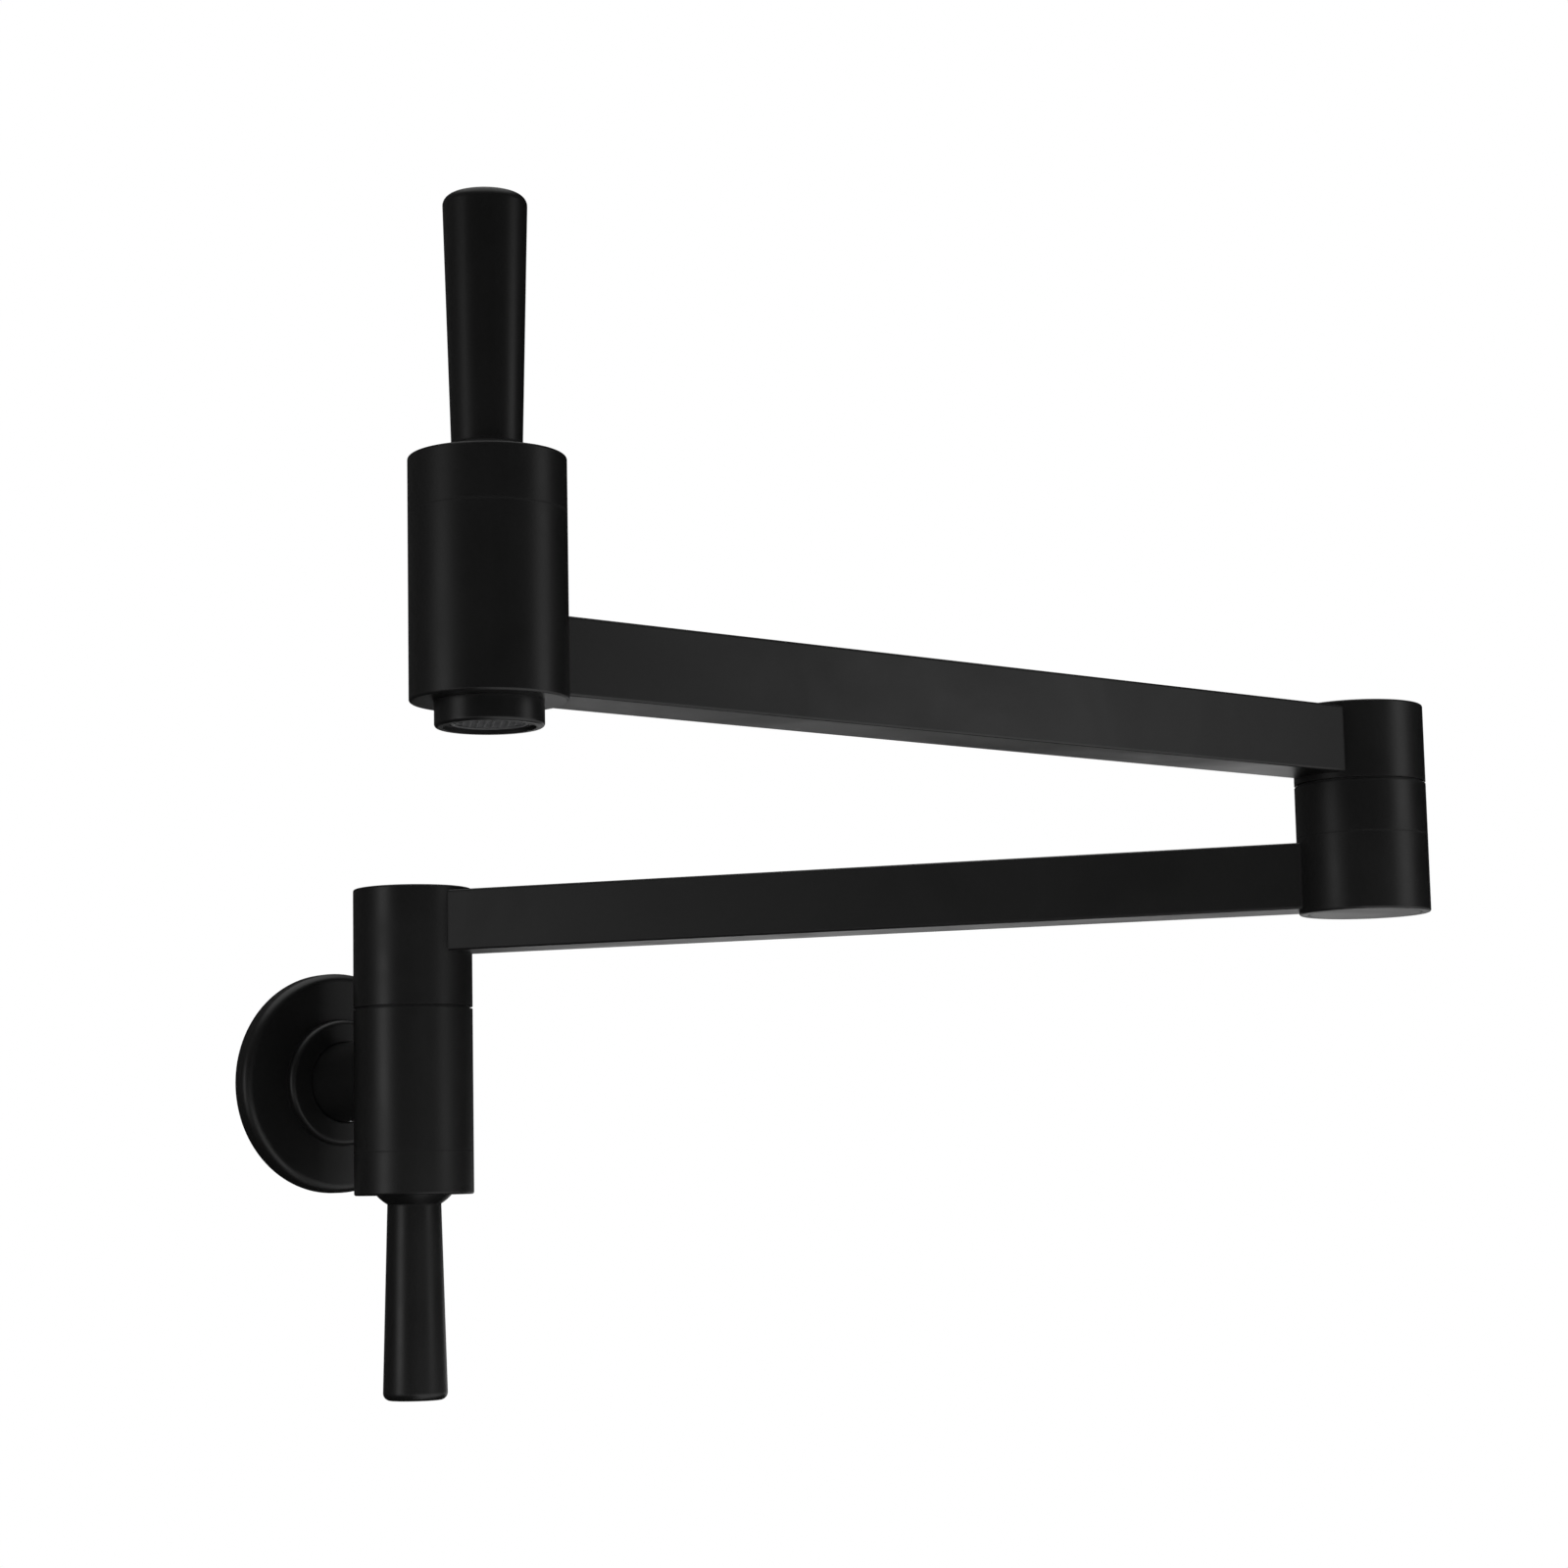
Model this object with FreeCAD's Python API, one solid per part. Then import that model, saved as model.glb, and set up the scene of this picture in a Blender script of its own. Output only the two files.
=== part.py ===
import FreeCAD, Part
import math
import os

# A folding wall faucet: a valve body on a wall flange, two square arms of equal length that
# swivel on upright stems, and a second valve body with the spout at the free end. Each valve
# is worked by a tapered joystick lever in line with its body.
#
# Millimetres. The origin is on the inlet's axis, in the plane of the wall. +Z is up, and the
# faucet stands out from the wall towards -Y. The arms rest swung out and folded.

# Overall layout
BODY_RADIUS = 17.5  # outside of every round body
WALL_STANDOFF = 46.5  # wall to the first upright axis
ARM_PITCH = 281.0  # upright axis to upright axis, both arms
ARM1_HEADING = -57.5  # degrees about Z, from +X
ARM2_HEADING = 180.0
HALF_TURN = 180.0
INLET_DEPTH = 19.7  # inlet axis under the top of the lower valve
VALVE_HEIGHT = 54.2  # a valve body with its bonnet

# Arms and knuckles
BAR_HEIGHT = 17.8
BAR_WIDTH = 17.4
BAR_WALL = 1.9
BAR_CORNER = 0.7
KNUCKLE_LIP = 1.45  # how far a knuckle stands past its bar, above and below
BEARING_HEIGHT = 14.2  # plain part of the base knuckle, under its bar
SPACER_HEIGHT = 13.7
SPACER_SPIGOT_RADIUS = 11.5
SPACER_SPIGOT_HEIGHT = 2.4
SWIVEL_GAP = 0.7  # the dark line between two round bodies that turn
KNUCKLE_WEB = 5.0
CHAMBER_WALL = 3.5
CAP_THICKNESS = 2.4
CAP_LEDGE = 1.0
CAP_GAP = 0.05
WINDOW_RADIUS = 5.2  # water way from a bar into a knuckle
EDGE_ROUND = 0.6

# Swivel stems
STEM_SHARE = 0.4857  # of the round bodies
STEM_WALL = 3.5
STEM_ROOT_STEP = 1.0
STEM_ROOT_HEIGHT = 9.2
STEM_HEAD_STEP = 2.4
STEM_HEAD_HEIGHT = 1.8
STEM_TAIL = 2.6  # past the circlip
STEM_GAP = 0.08
RING_SECTION = 0.9
RING_GROOVE_DEPTH = 1.8
RING_GROOVE_WIDTH = 2.3
RING_LAND = 3.2
FILM = 0.05  # between flat faces that slide on each other
WASHER_INSET = 0.8
THRUST_WASHER_THICKNESS = 1.0
THRUST_WASHER_RIM = 3.6
CIRCLIP_THICKNESS = 1.4
CIRCLIP_BITE = 1.1
CIRCLIP_RIM = 2.4
CIRCLIP_SLOT = 5.0

# Valve: bonnet, dome and lever
BONNET_HEIGHT = 12.5
BONNET_WALL = 2.2  # round its thread
DOME_SEAT_SHARE = 0.8686  # of the round bodies
PIVOT_DEPTH = 10.0  # lever pivot under the lever face
DOME_GAP = 0.3
DOME_WALL = 1.4
DOME_SKIRT_ANGLE = 65.5  # from straight up
DOME_HUB_RADIUS = 5.0
LEVER_BASE_RADIUS = 7.8
LEVER_END_RADIUS = 9.4
LEVER_LENGTH = 59.2
LEVER_END_ROUND = 2.2
LEVER_SEAT_GAP = 0.03
SPINDLE_RADIUS = 3.0
SPINDLE_RISE = 14.0
SPINDLE_COLLAR_STEP = 1.0
SPINDLE_COLLAR_HEIGHT = 3.0
DOME_HUB_HEIGHT = 3.5
SPINDLE_FIT = 0.05
PIVOT_BALL_RADIUS = 5.0
PIVOT_BALL_GAP = 0.1
PIVOT_PIN_RADIUS = 1.2
PIVOT_PIN_GAP = 0.05
DRIVE_SHANK_RADIUS = 1.6
DRIVE_BALL_RADIUS = 2.1
DRIVE_REACH = 10.6  # pivot to the ball that moves the disc
DRIVE_GAP = 0.2

# Valve: cartridge
SPIGOT_HEIGHT = 4.0
SPIGOT_WALL = 2.1
THREAD_GAP = 0.1
CARTRIDGE_GAP = 0.2
CARTRIDGE_NECK_ROOM = 3.94  # inside the dome
CARTRIDGE_NECK_RISE = 2.3
CARTRIDGE_WALL = 1.5
CARTRIDGE_PLATE = 2.0
SPINDLE_HOLE_RADIUS = 4.8
NUT_INSET = 0.7  # under the rim of the body's spigot
NUT_GAP = 0.2
NUT_SLOTS = 4
NUT_SLOT_WIDTH = 3.0
NUT_SLOT_DEPTH = 1.6
CARRIER_OVER_BALL = 1.1  # above the middle of the ball that drives it
CARRIER_RUN = 0.8  # room above the carrier
CARRIER_THICKNESS = 4.0
CARRIER_SOCKET_DEPTH = 3.4
MOVING_DISC_ROOM = 2.4  # round the moving disc
MOVING_DISC_SHIFT = 1.35  # closed disc off the middle, half its travel
MOVING_DISC_THICKNESS = 2.8
RECESS_SHIFT_SHARE = 0.3333  # of the moving disc's radius, as the next three
RECESS_REACH_SHARE = 0.2
PORT_OFFSET_SHARE = 0.5111
PORT_RADIUS_SHARE = 0.2667
RECESS_DEPTH = 1.4
FIXED_DISC_THICKNESS = 2.6
DISC_FIT = 0.15
FLOOR_THICKNESS = 3.8
SEAL_RIM = 1.2
SEAL_HEIGHT = 1.0

# Water ways in the valve bodies
DUCT_RADIUS = 3.0
DUCT_COVER = 1.5
STEM_SOCKET_PLENUM = 2.5
NECK_RADIUS = 12.0
NECK_WALL = 2.6  # round the spigot in it
NECK_BORE_STEP = 2.4
NECK_BORE_STOP = 2.4  # wall left between the neck's bore and the cartridge

# Wall fixing
FLANGE_RADIUS = 33.2
FLANGE_THICKNESS = 6.0
FLANGE_EDGE_ROUND = 2.6
FLANGE_RIM = 3.4
FLANGE_RECESS_DEPTH = 3.4
BOSS_RADIUS = 19.0
BOSS_HEIGHT = 2.8
BOSS_EDGE_ROUND = 1.6
NECK_HOLE_GAP = 0.3
NIPPLE_RECESS_ROOM = 0.9  # in front of the hexagon
NIPPLE_RECESS_GAP = 1.6
GASKET_GAP = 2.0  # round the flange's hub
GASKET_THICKNESS = 2.0
GRIP_RING_SECTION = 0.85
NIPPLE_THREAD_RADIUS = 10.48  # half-inch pipe thread, outside
NIPPLE_THREAD_LENGTH = 15.0
NIPPLE_TIP_CHAMFER = 1.0
NIPPLE_RELIEF = 0.9  # step down behind the thread, under its washer
NIPPLE_HEX_STEP = 1.52  # from the thread to the flats
NIPPLE_HEX_HEIGHT = 3.0
NIPPLE_WASHER_RIM = 3.0
NIPPLE_WASHER_THICKNESS = 1.5
INLET_SPIGOT_STOP = 2.5  # short of the round body
INLET_SPIGOT_GAP = 0.1
INLET_SPIGOT_WALL = 3.3
INLET_SPIGOT_ROOT_STEP = 1.3  # its brazed end, in the hexagon
INLET_SPIGOT_ROOT_LENGTH = 2.6
LOCK_GROOVE_DEPTH = 0.5
LOCK_GROOVE_GAP = 0.3  # on each side of the screw
INLET_RING_LAND = 2.2
SET_SCREW_ROOM = 4.2  # from the flange's boss to the screw's middle
SET_SCREW_RADIUS = 2.0
SET_SCREW_SOCKET = 2.0  # across the flats
SET_SCREW_SOCKET_DEPTH = 1.6
SET_SCREW_FIT = 0.02

# Spout
AERATOR_RADIUS = 12.05
AERATOR_DROP = 5.6
AERATOR_EDGE_ROUND = 0.8
AERATOR_MOUTH_RIM = 1.9  # round the shallow recess of the mouth
AERATOR_COLLAR_STEP = 1.15  # in from the ring's outside
AERATOR_COLLAR_HEIGHT = 5.0
AERATOR_COLLAR_WALL = 1.2
AERATOR_SOCKET_DEPTH = 6.0
AERATOR_LIP_RECESS = 0.7
INSERT_GAP = 0.05
INSERT_HEIGHT = 7.5
INSERT_CUP_WALL = 1.0
INSERT_CELL_RADIUS = 0.75
INSERT_CELL_PITCH_SHARE = 0.228  # of the insert's radius
INSERT_CELL_RINGS = 3
AERATOR_WASHER_RIM = 3.9

# One overrun for every cut that has to pass a face
OVERRUN = 1.0

# Radii that follow from the body inwards
cavity_radius = BODY_RADIUS * DOME_SEAT_SHARE
dome_radius = cavity_radius - DOME_GAP
dome_inner = dome_radius - DOME_WALL
bonnet_bore = BODY_RADIUS - BONNET_WALL
spigot_radius = bonnet_bore - THREAD_GAP
cartridge_bore = spigot_radius - SPIGOT_WALL
cartridge_radius = cartridge_bore - CARTRIDGE_GAP
cartridge_neck_radius = dome_inner - CARTRIDGE_NECK_ROOM
cup_radius = cartridge_radius - CARTRIDGE_WALL
disc_radius = cup_radius - MOVING_DISC_ROOM
port_offset = disc_radius * PORT_OFFSET_SHARE
port_radius = disc_radius * PORT_RADIUS_SHARE
recess_shift = disc_radius * RECESS_SHIFT_SHARE
recess_reach = disc_radius * RECESS_REACH_SHARE
chamber_radius = BODY_RADIUS - CHAMBER_WALL
cap_seat_radius = chamber_radius + CAP_LEDGE
stem_radius = BODY_RADIUS * STEM_SHARE
stem_bore = stem_radius - STEM_WALL
stem_hole = stem_radius + STEM_GAP
stem_root_radius = stem_radius + STEM_ROOT_STEP
neck_hole = NECK_RADIUS + NECK_HOLE_GAP
collar_radius = AERATOR_RADIUS - AERATOR_COLLAR_STEP
spigot_bore = NECK_RADIUS - NECK_WALL
neck_bore = spigot_bore - NECK_BORE_STEP
inlet_spigot_radius = spigot_bore - INLET_SPIGOT_GAP
inlet_bore = inlet_spigot_radius - INLET_SPIGOT_WALL
inlet_spigot_root = inlet_spigot_radius - INLET_SPIGOT_ROOT_STEP

# Heights inside a valve, from its lever face downwards
pivot = -PIVOT_DEPTH
neck_top = pivot + CARTRIDGE_NECK_RISE
hub_low = pivot + dome_inner - DOME_HUB_HEIGHT
drive_ball = pivot - DRIVE_REACH
carrier_top = drive_ball + CARRIER_OVER_BALL
plate_low = carrier_top + CARRIER_RUN
shoulder = plate_low + CARTRIDGE_PLATE
spigot_top = SPIGOT_HEIGHT - BONNET_HEIGHT
nut_top = spigot_top - NUT_INSET
moving_disc_top = carrier_top - CARRIER_THICKNESS
moving_disc_low = moving_disc_top - MOVING_DISC_THICKNESS
fixed_disc_top = moving_disc_low - FILM
floor_top = fixed_disc_top - FIXED_DISC_THICKNESS
cartridge_low = floor_top - FLOOR_THICKNESS
neck_axis = INLET_DEPTH - VALVE_HEIGHT

# Heights of the whole faucet, from the inlet's axis
lower_valve_top = INLET_DEPTH
lower_valve_face = lower_valve_top - VALVE_HEIGHT
base_knuckle_low = lower_valve_top + SWIVEL_GAP
bar1_low = base_knuckle_low + BEARING_HEIGHT + KNUCKLE_LIP
bar1_top = bar1_low + BAR_HEIGHT
base_knuckle_top = bar1_top + KNUCKLE_LIP
elbow_low = bar1_low - KNUCKLE_LIP
elbow_lower_top = bar1_top + KNUCKLE_LIP
spacer_top = elbow_lower_top + SPACER_HEIGHT
elbow_upper_low = spacer_top + SWIVEL_GAP
bar2_low = elbow_upper_low + KNUCKLE_LIP
bar2_top = bar2_low + BAR_HEIGHT
elbow_top = bar2_top + KNUCKLE_LIP
spout_valve_low = elbow_upper_low
spout_valve_face = spout_valve_low + VALVE_HEIGHT
bar1_mid = (bar1_low + bar1_top) / 2
bar2_mid = (bar2_low + bar2_top) / 2


def point(x, y, z):
    return FreeCAD.Vector(x, y, z)


def cylinder(radius, low, high, x=0.0, y=0.0):
    """An upright cylinder between two heights."""
    return Part.makeCylinder(radius, high - low, point(x, y, low))


def rod_x(radius, start, end, y, z):
    """A cylinder along X, with its seam on the side, clear of holes above and below."""
    rod = Part.makeCylinder(radius, end - start, point(start, y, z), point(1, 0, 0))
    rod.rotate(point(start, y, z), point(1, 0, 0), HALF_TURN / 2)
    return rod


def rod_y(radius, start, end, x, z):
    return Part.makeCylinder(radius, end - start, point(x, start, z), point(0, 1, 0))


def tube(outer, inner, low, high):
    return cylinder(outer, low, high).cut(cylinder(inner, low, high))


def ball(radius, height):
    return Part.makeSphere(radius, point(0, 0, height))


def prism(across_flats, low, high, x=0.0, y=0.0):
    """An upright hexagonal prism."""
    corner = across_flats / math.sqrt(3)
    turns = [math.radians(60 * i) for i in range(7)]
    outline = [point(x + corner * math.cos(a), y + corner * math.sin(a), low) for a in turns]
    return Part.Face(Part.makePolygon(outline)).extrude(point(0, 0, high - low))


def turned(*steps):
    """A solid of revolution about Z. A step is a corner (radius, height), or a pair of them:
    a point that an arc passes through and the arc's end."""
    edges = []
    last = None
    for step in steps:
        if isinstance(step[0], tuple):
            middle, end = (point(r, 0, z) for r, z in step)
            edges.append(Part.Arc(last, middle, end).toShape())
        else:
            end = point(step[0], 0, step[1])
            if last is not None:
                edges.append(Part.LineSegment(last, end).toShape())
        last = end
    start = point(steps[0][0], 0, steps[0][1])
    edges.append(Part.LineSegment(last, start).toShape())
    face = Part.Face(Part.Wire(edges))
    return face.revolve(point(0, 0, 0), point(0, 0, 1), 360)


def on_sphere(radius, angle):
    """A corner on a sphere about the lever pivot, angle degrees from straight up."""
    turn = math.radians(angle)
    return (radius * math.sin(turn), pivot + radius * math.cos(turn))


def rounded(shape, radius, height, at_radius):
    """Rounds the circular edges of one radius at one height."""
    def wanted(edge):
        curve = edge.Curve
        return (
            isinstance(curve, Part.Circle)
            and math.isclose(curve.Radius, at_radius, rel_tol=1e-6)
            and math.isclose(curve.Center.z, height, rel_tol=1e-6, abs_tol=FILM)
        )

    return shape.makeFillet(radius, [edge for edge in shape.Edges if wanted(edge)])


def placed(shape, x, y, z, turn=0.0):
    """The shape turned about Z and moved, as a new shape."""
    moved = shape.copy()
    moved.rotate(point(0, 0, 0), point(0, 0, 1), turn)
    moved.translate(point(x, y, z))
    return moved


# Where the three upright axes stand
base_x, base_y = 0.0, -WALL_STANDOFF
heading1 = math.radians(ARM1_HEADING)
heading2 = math.radians(ARM2_HEADING)
elbow_x = base_x + ARM_PITCH * math.cos(heading1)
elbow_y = base_y + ARM_PITCH * math.sin(heading1)
spout_x = elbow_x + ARM_PITCH * math.cos(heading2)
spout_y = elbow_y + ARM_PITCH * math.sin(heading2)


# Valve pieces, in a valve's own frame: the lever face is z = 0 with the lever upwards, and the
# water comes in on the +X side. The lever opens by tipping towards -X.


def bonnet():
    """Screw-on end cap: its round cavity is the seat that the dome turns in."""
    skin = cylinder(BODY_RADIUS, -BONNET_HEIGHT, 0)
    skin = rounded(skin, EDGE_ROUND, 0, BODY_RADIUS)
    top = pivot + cavity_radius
    cavity = turned(
        (0, -BONNET_HEIGHT - OVERRUN),
        (cavity_radius, -BONNET_HEIGHT - OVERRUN),
        (cavity_radius, pivot),
        (on_sphere(cavity_radius, 45), (0, top)),
    )
    thread = cylinder(bonnet_bore, -BONNET_HEIGHT - OVERRUN, spigot_top + THREAD_GAP)
    return skin.cut(cavity).cut(thread)


def dome():
    """Ball-shaped skirt that closes the bonnet's mouth and tips with the lever."""
    shell = turned(
        on_sphere(dome_radius, DOME_SKIRT_ANGLE),
        (on_sphere(dome_radius, DOME_SKIRT_ANGLE / 2), (0, pivot + dome_radius)),
        (0, pivot + dome_inner),
        (on_sphere(dome_inner, DOME_SKIRT_ANGLE / 2), on_sphere(dome_inner, DOME_SKIRT_ANGLE)),
    )
    hub = cylinder(DOME_HUB_RADIUS, hub_low, pivot + dome_inner + DOME_WALL / 2)
    hub = hub.common(ball(dome_inner + DOME_WALL / 2, pivot))
    hole = cylinder(SPINDLE_RADIUS + SPINDLE_FIT, hub_low - OVERRUN, pivot + dome_radius + OVERRUN)
    return shell.fuse(hub).cut(hole).removeSplitter()


def lever():
    """Tapered grip with a rounded end, screwed on to the spindle."""
    half = LEVER_END_ROUND * (1 - math.sqrt(0.5))
    grip = turned(
        (0, 0),
        (LEVER_BASE_RADIUS, 0),
        (LEVER_END_RADIUS, LEVER_LENGTH - LEVER_END_ROUND),
        (
            (LEVER_END_RADIUS - half, LEVER_LENGTH - half),
            (LEVER_END_RADIUS - LEVER_END_ROUND, LEVER_LENGTH),
        ),
        (0, LEVER_LENGTH),
    )
    bore = cylinder(SPINDLE_RADIUS + SPINDLE_FIT, -OVERRUN, SPINDLE_RISE + SPINDLE_FIT)
    return grip.cut(ball(dome_radius + LEVER_SEAT_GAP, pivot)).cut(bore)


def spindle():
    """Steel joystick: shank and collar above the pivot ball, drive ball below it."""
    shape = ball(PIVOT_BALL_RADIUS, pivot)
    collar = cylinder(
        SPINDLE_RADIUS + SPINDLE_COLLAR_STEP, hub_low - SPINDLE_COLLAR_HEIGHT, hub_low
    )
    pieces = [
        cylinder(SPINDLE_RADIUS, pivot, SPINDLE_RISE),
        collar,
        cylinder(DRIVE_SHANK_RADIUS, drive_ball, pivot),
        ball(DRIVE_BALL_RADIUS, drive_ball),
    ]
    for piece in pieces:
        shape = shape.fuse(piece)
    reach = PIVOT_BALL_RADIUS + OVERRUN
    hole = rod_y(PIVOT_PIN_RADIUS + PIVOT_PIN_GAP, -reach, reach, 0, pivot)
    return shape.cut(hole).removeSplitter()


def pivot_pin():
    half = cartridge_neck_radius - CARTRIDGE_GAP
    return rod_y(PIVOT_PIN_RADIUS, -half, half, 0, pivot)


def cartridge_housing():
    """Moulded cup with a neck that holds the pivot ball."""
    skin = cylinder(cartridge_radius, cartridge_low, shoulder)
    skin = skin.fuse(cylinder(cartridge_neck_radius, plate_low, neck_top))
    skin = skin.cut(cylinder(cup_radius, cartridge_low - OVERRUN, plate_low))
    skin = skin.cut(cylinder(SPINDLE_HOLE_RADIUS, plate_low - OVERRUN, pivot))
    skin = skin.cut(ball(PIVOT_BALL_RADIUS + PIVOT_BALL_GAP, pivot))
    reach = cartridge_radius + OVERRUN
    pin_hole = rod_y(PIVOT_PIN_RADIUS, -reach, reach, 0, pivot)
    return skin.cut(pin_hole).removeSplitter()


def port_holes(radius, low, high):
    holes = cylinder(radius, low, high, x=port_offset)
    return holes.fuse(cylinder(radius, low, high, x=-port_offset))


def cartridge_floor():
    """Moulded floor plate with two ports, grooved below for their seals."""
    plate = cylinder(cup_radius - DISC_FIT, cartridge_low, floor_top)
    plate = plate.cut(port_holes(port_radius, cartridge_low - OVERRUN, floor_top + OVERRUN))
    grooves = port_holes(port_radius + SEAL_RIM, cartridge_low - OVERRUN, cartridge_low + SEAL_HEIGHT)
    return plate.cut(grooves)


def port_seals():
    seal_top = cartridge_low + SEAL_HEIGHT
    seals = port_holes(port_radius + SEAL_RIM, cartridge_low, seal_top)
    return seals.cut(port_holes(port_radius, cartridge_low - OVERRUN, seal_top + OVERRUN))


def fixed_disc():
    disc = cylinder(cup_radius - DISC_FIT, floor_top, fixed_disc_top)
    return disc.cut(port_holes(port_radius, floor_top - OVERRUN, fixed_disc_top + OVERRUN))


def moving_disc():
    """Ceramic disc with a blind recess that joins the ports when it slides towards +X."""
    disc = cylinder(disc_radius, moving_disc_low, moving_disc_top, x=-MOVING_DISC_SHIFT)
    low = moving_disc_low - OVERRUN
    high = moving_disc_low + RECESS_DEPTH
    corner = point(-recess_shift - recess_reach, -port_radius, low)
    recess = Part.makeBox(2 * recess_reach, 2 * port_radius, high - low, corner)
    for end in (-recess_reach, recess_reach):
        recess = recess.fuse(cylinder(port_radius, low, high, x=end - recess_shift))
    return disc.cut(recess.removeSplitter())


def disc_carrier():
    block = cylinder(disc_radius, moving_disc_top, carrier_top, x=-MOVING_DISC_SHIFT)
    socket_low = carrier_top - CARRIER_SOCKET_DEPTH
    return block.cut(cylinder(DRIVE_BALL_RADIUS + DRIVE_GAP, socket_low, carrier_top + OVERRUN))


def cartridge_nut():
    """Slotted ring nut that holds the cartridge down."""
    nut = tube(cartridge_bore - THREAD_GAP, cartridge_neck_radius + NUT_GAP, shoulder, nut_top)
    for i in range(NUT_SLOTS):
        slot = Part.makeBox(
            cartridge_bore, NUT_SLOT_WIDTH, NUT_SLOT_DEPTH + OVERRUN,
            point(0, -NUT_SLOT_WIDTH / 2, nut_top - NUT_SLOT_DEPTH),
        )
        nut = nut.cut(placed(slot, 0, 0, 0, 45 + i * 360 / NUT_SLOTS))
    return nut


def valve_body_blank():
    """What both valve bodies share: the outside with its threaded spigot."""
    body = cylinder(BODY_RADIUS, -VALVE_HEIGHT, -BONNET_HEIGHT)
    return body.fuse(cylinder(spigot_radius, -BONNET_HEIGHT, spigot_top))


def bored(body):
    """The body with the cartridge's bore in it."""
    return body.cut(cylinder(cartridge_bore, cartridge_low, spigot_top + OVERRUN))


def lower_valve_body():
    """Lower body with the inlet duct and the socket of the base stem. Made in the valve's own
    frame, so the wall is towards +X and the stem goes in from below."""
    body = bored(valve_body_blank())
    bore_start = cartridge_bore + NECK_BORE_STOP
    body = body.cut(rod_x(neck_bore, bore_start, BODY_RADIUS + OVERRUN, 0, neck_axis))
    duct_height = cartridge_low - DUCT_COVER - DUCT_RADIUS
    body = body.cut(rod_x(DUCT_RADIUS, port_offset - DUCT_RADIUS, bore_start + OVERRUN, 0, duct_height))
    body = body.cut(cylinder(port_radius, duct_height, cartridge_low + OVERRUN, x=port_offset))
    socket_top = STEM_ROOT_HEIGHT + STEM_SOCKET_PLENUM - VALVE_HEIGHT
    body = body.cut(cylinder(stem_root_radius, -VALVE_HEIGHT - OVERRUN, socket_top))
    return body.cut(
        cylinder(port_radius, socket_top - OVERRUN, cartridge_low + OVERRUN, x=-port_offset)
    )


def inlet_neck():
    """Tube from the body to the wall, its end hollowed to sit against the round body. It takes
    the inlet spigot and the screw that locks it."""
    neck_end = WALL_STANDOFF - hexagon_top
    spigot_end = WALL_STANDOFF - spigot_tip - INLET_SPIGOT_GAP
    neck = rod_x(NECK_RADIUS, 0, neck_end, 0, neck_axis)
    neck = neck.cut(cylinder(BODY_RADIUS, -VALVE_HEIGHT, 0))
    neck = neck.cut(rod_x(neck_bore, 0, neck_end + OVERRUN, 0, neck_axis))
    neck = neck.cut(rod_x(spigot_bore, spigot_end, neck_end + OVERRUN, 0, neck_axis))
    hole = cylinder(
        SET_SCREW_RADIUS + SET_SCREW_FIT, neck_axis, neck_axis + NECK_RADIUS + OVERRUN, x=set_screw_reach
    )
    return neck.cut(hole)


def spout_valve_body():
    """Upper body with the duct from its bar, and the threaded socket of the aerator."""
    body = bored(valve_body_blank())
    duct_height = bar2_mid - spout_valve_face
    socket_top = AERATOR_SOCKET_DEPTH - VALVE_HEIGHT
    body = body.cut(rod_x(DUCT_RADIUS, port_offset - DUCT_RADIUS, BODY_RADIUS + OVERRUN, 0, duct_height))
    body = body.cut(cylinder(port_radius, duct_height, cartridge_low + OVERRUN, x=port_offset))
    body = body.cut(cylinder(collar_radius + THREAD_GAP, -VALVE_HEIGHT - OVERRUN, socket_top))
    body = body.cut(cylinder(port_radius, socket_top - OVERRUN, cartridge_low + OVERRUN, x=-port_offset))
    return rounded(body, EDGE_ROUND, -VALVE_HEIGHT, BODY_RADIUS)


def valve_pieces():
    """Every piece that the two valves have alike, by the last part of its name."""
    return {
        "bonnet": bonnet(),
        "dome": dome(),
        "lever": lever(),
        "spindle": spindle(),
        "pivot_pin": pivot_pin(),
        "cartridge_housing": cartridge_housing(),
        "cartridge_floor": cartridge_floor(),
        "port_seals": port_seals(),
        "fixed_disc": fixed_disc(),
        "moving_disc": moving_disc(),
        "disc_carrier": disc_carrier(),
        "cartridge_nut": cartridge_nut(),
    }


def at_lower_valve(shape):
    """From a valve's own frame to the lower valve: lever down, inlet side to the wall."""
    moved = shape.copy()
    moved.rotate(point(0, 0, 0), point(1, 1, 0), HALF_TURN)
    moved.translate(point(base_x, base_y, lower_valve_face))
    return moved


def at_spout_valve(shape):
    return placed(shape, spout_x, spout_y, spout_valve_face, ARM2_HEADING + HALF_TURN)


# Wall fixing, made with +Z away from the wall and turned on to the inlet's axis at the end


def wall_flange():
    """Turned cover plate with a raised boss, hollow behind."""
    plate = cylinder(FLANGE_RADIUS, 0, FLANGE_THICKNESS)
    plate = rounded(plate, FLANGE_EDGE_ROUND, FLANGE_THICKNESS, FLANGE_RADIUS)
    boss = cylinder(BOSS_RADIUS, 0, FLANGE_THICKNESS + BOSS_HEIGHT)
    boss = rounded(boss, BOSS_EDGE_ROUND, FLANGE_THICKNESS + BOSS_HEIGHT, BOSS_RADIUS)
    plate = plate.fuse(boss).removeSplitter()
    hollow = tube(FLANGE_RADIUS - FLANGE_RIM, flange_hub_radius, -OVERRUN, FLANGE_RECESS_DEPTH)
    plate = plate.cut(hollow)
    plate = plate.cut(cylinder(nipple_recess_radius, -OVERRUN, nipple_recess_depth))
    plate = plate.cut(cylinder(neck_hole, 0, FLANGE_THICKNESS + BOSS_HEIGHT + OVERRUN))
    return plate.cut(Part.makeTorus(neck_hole, GRIP_RING_SECTION, point(0, 0, grip_ring_height)))


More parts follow.
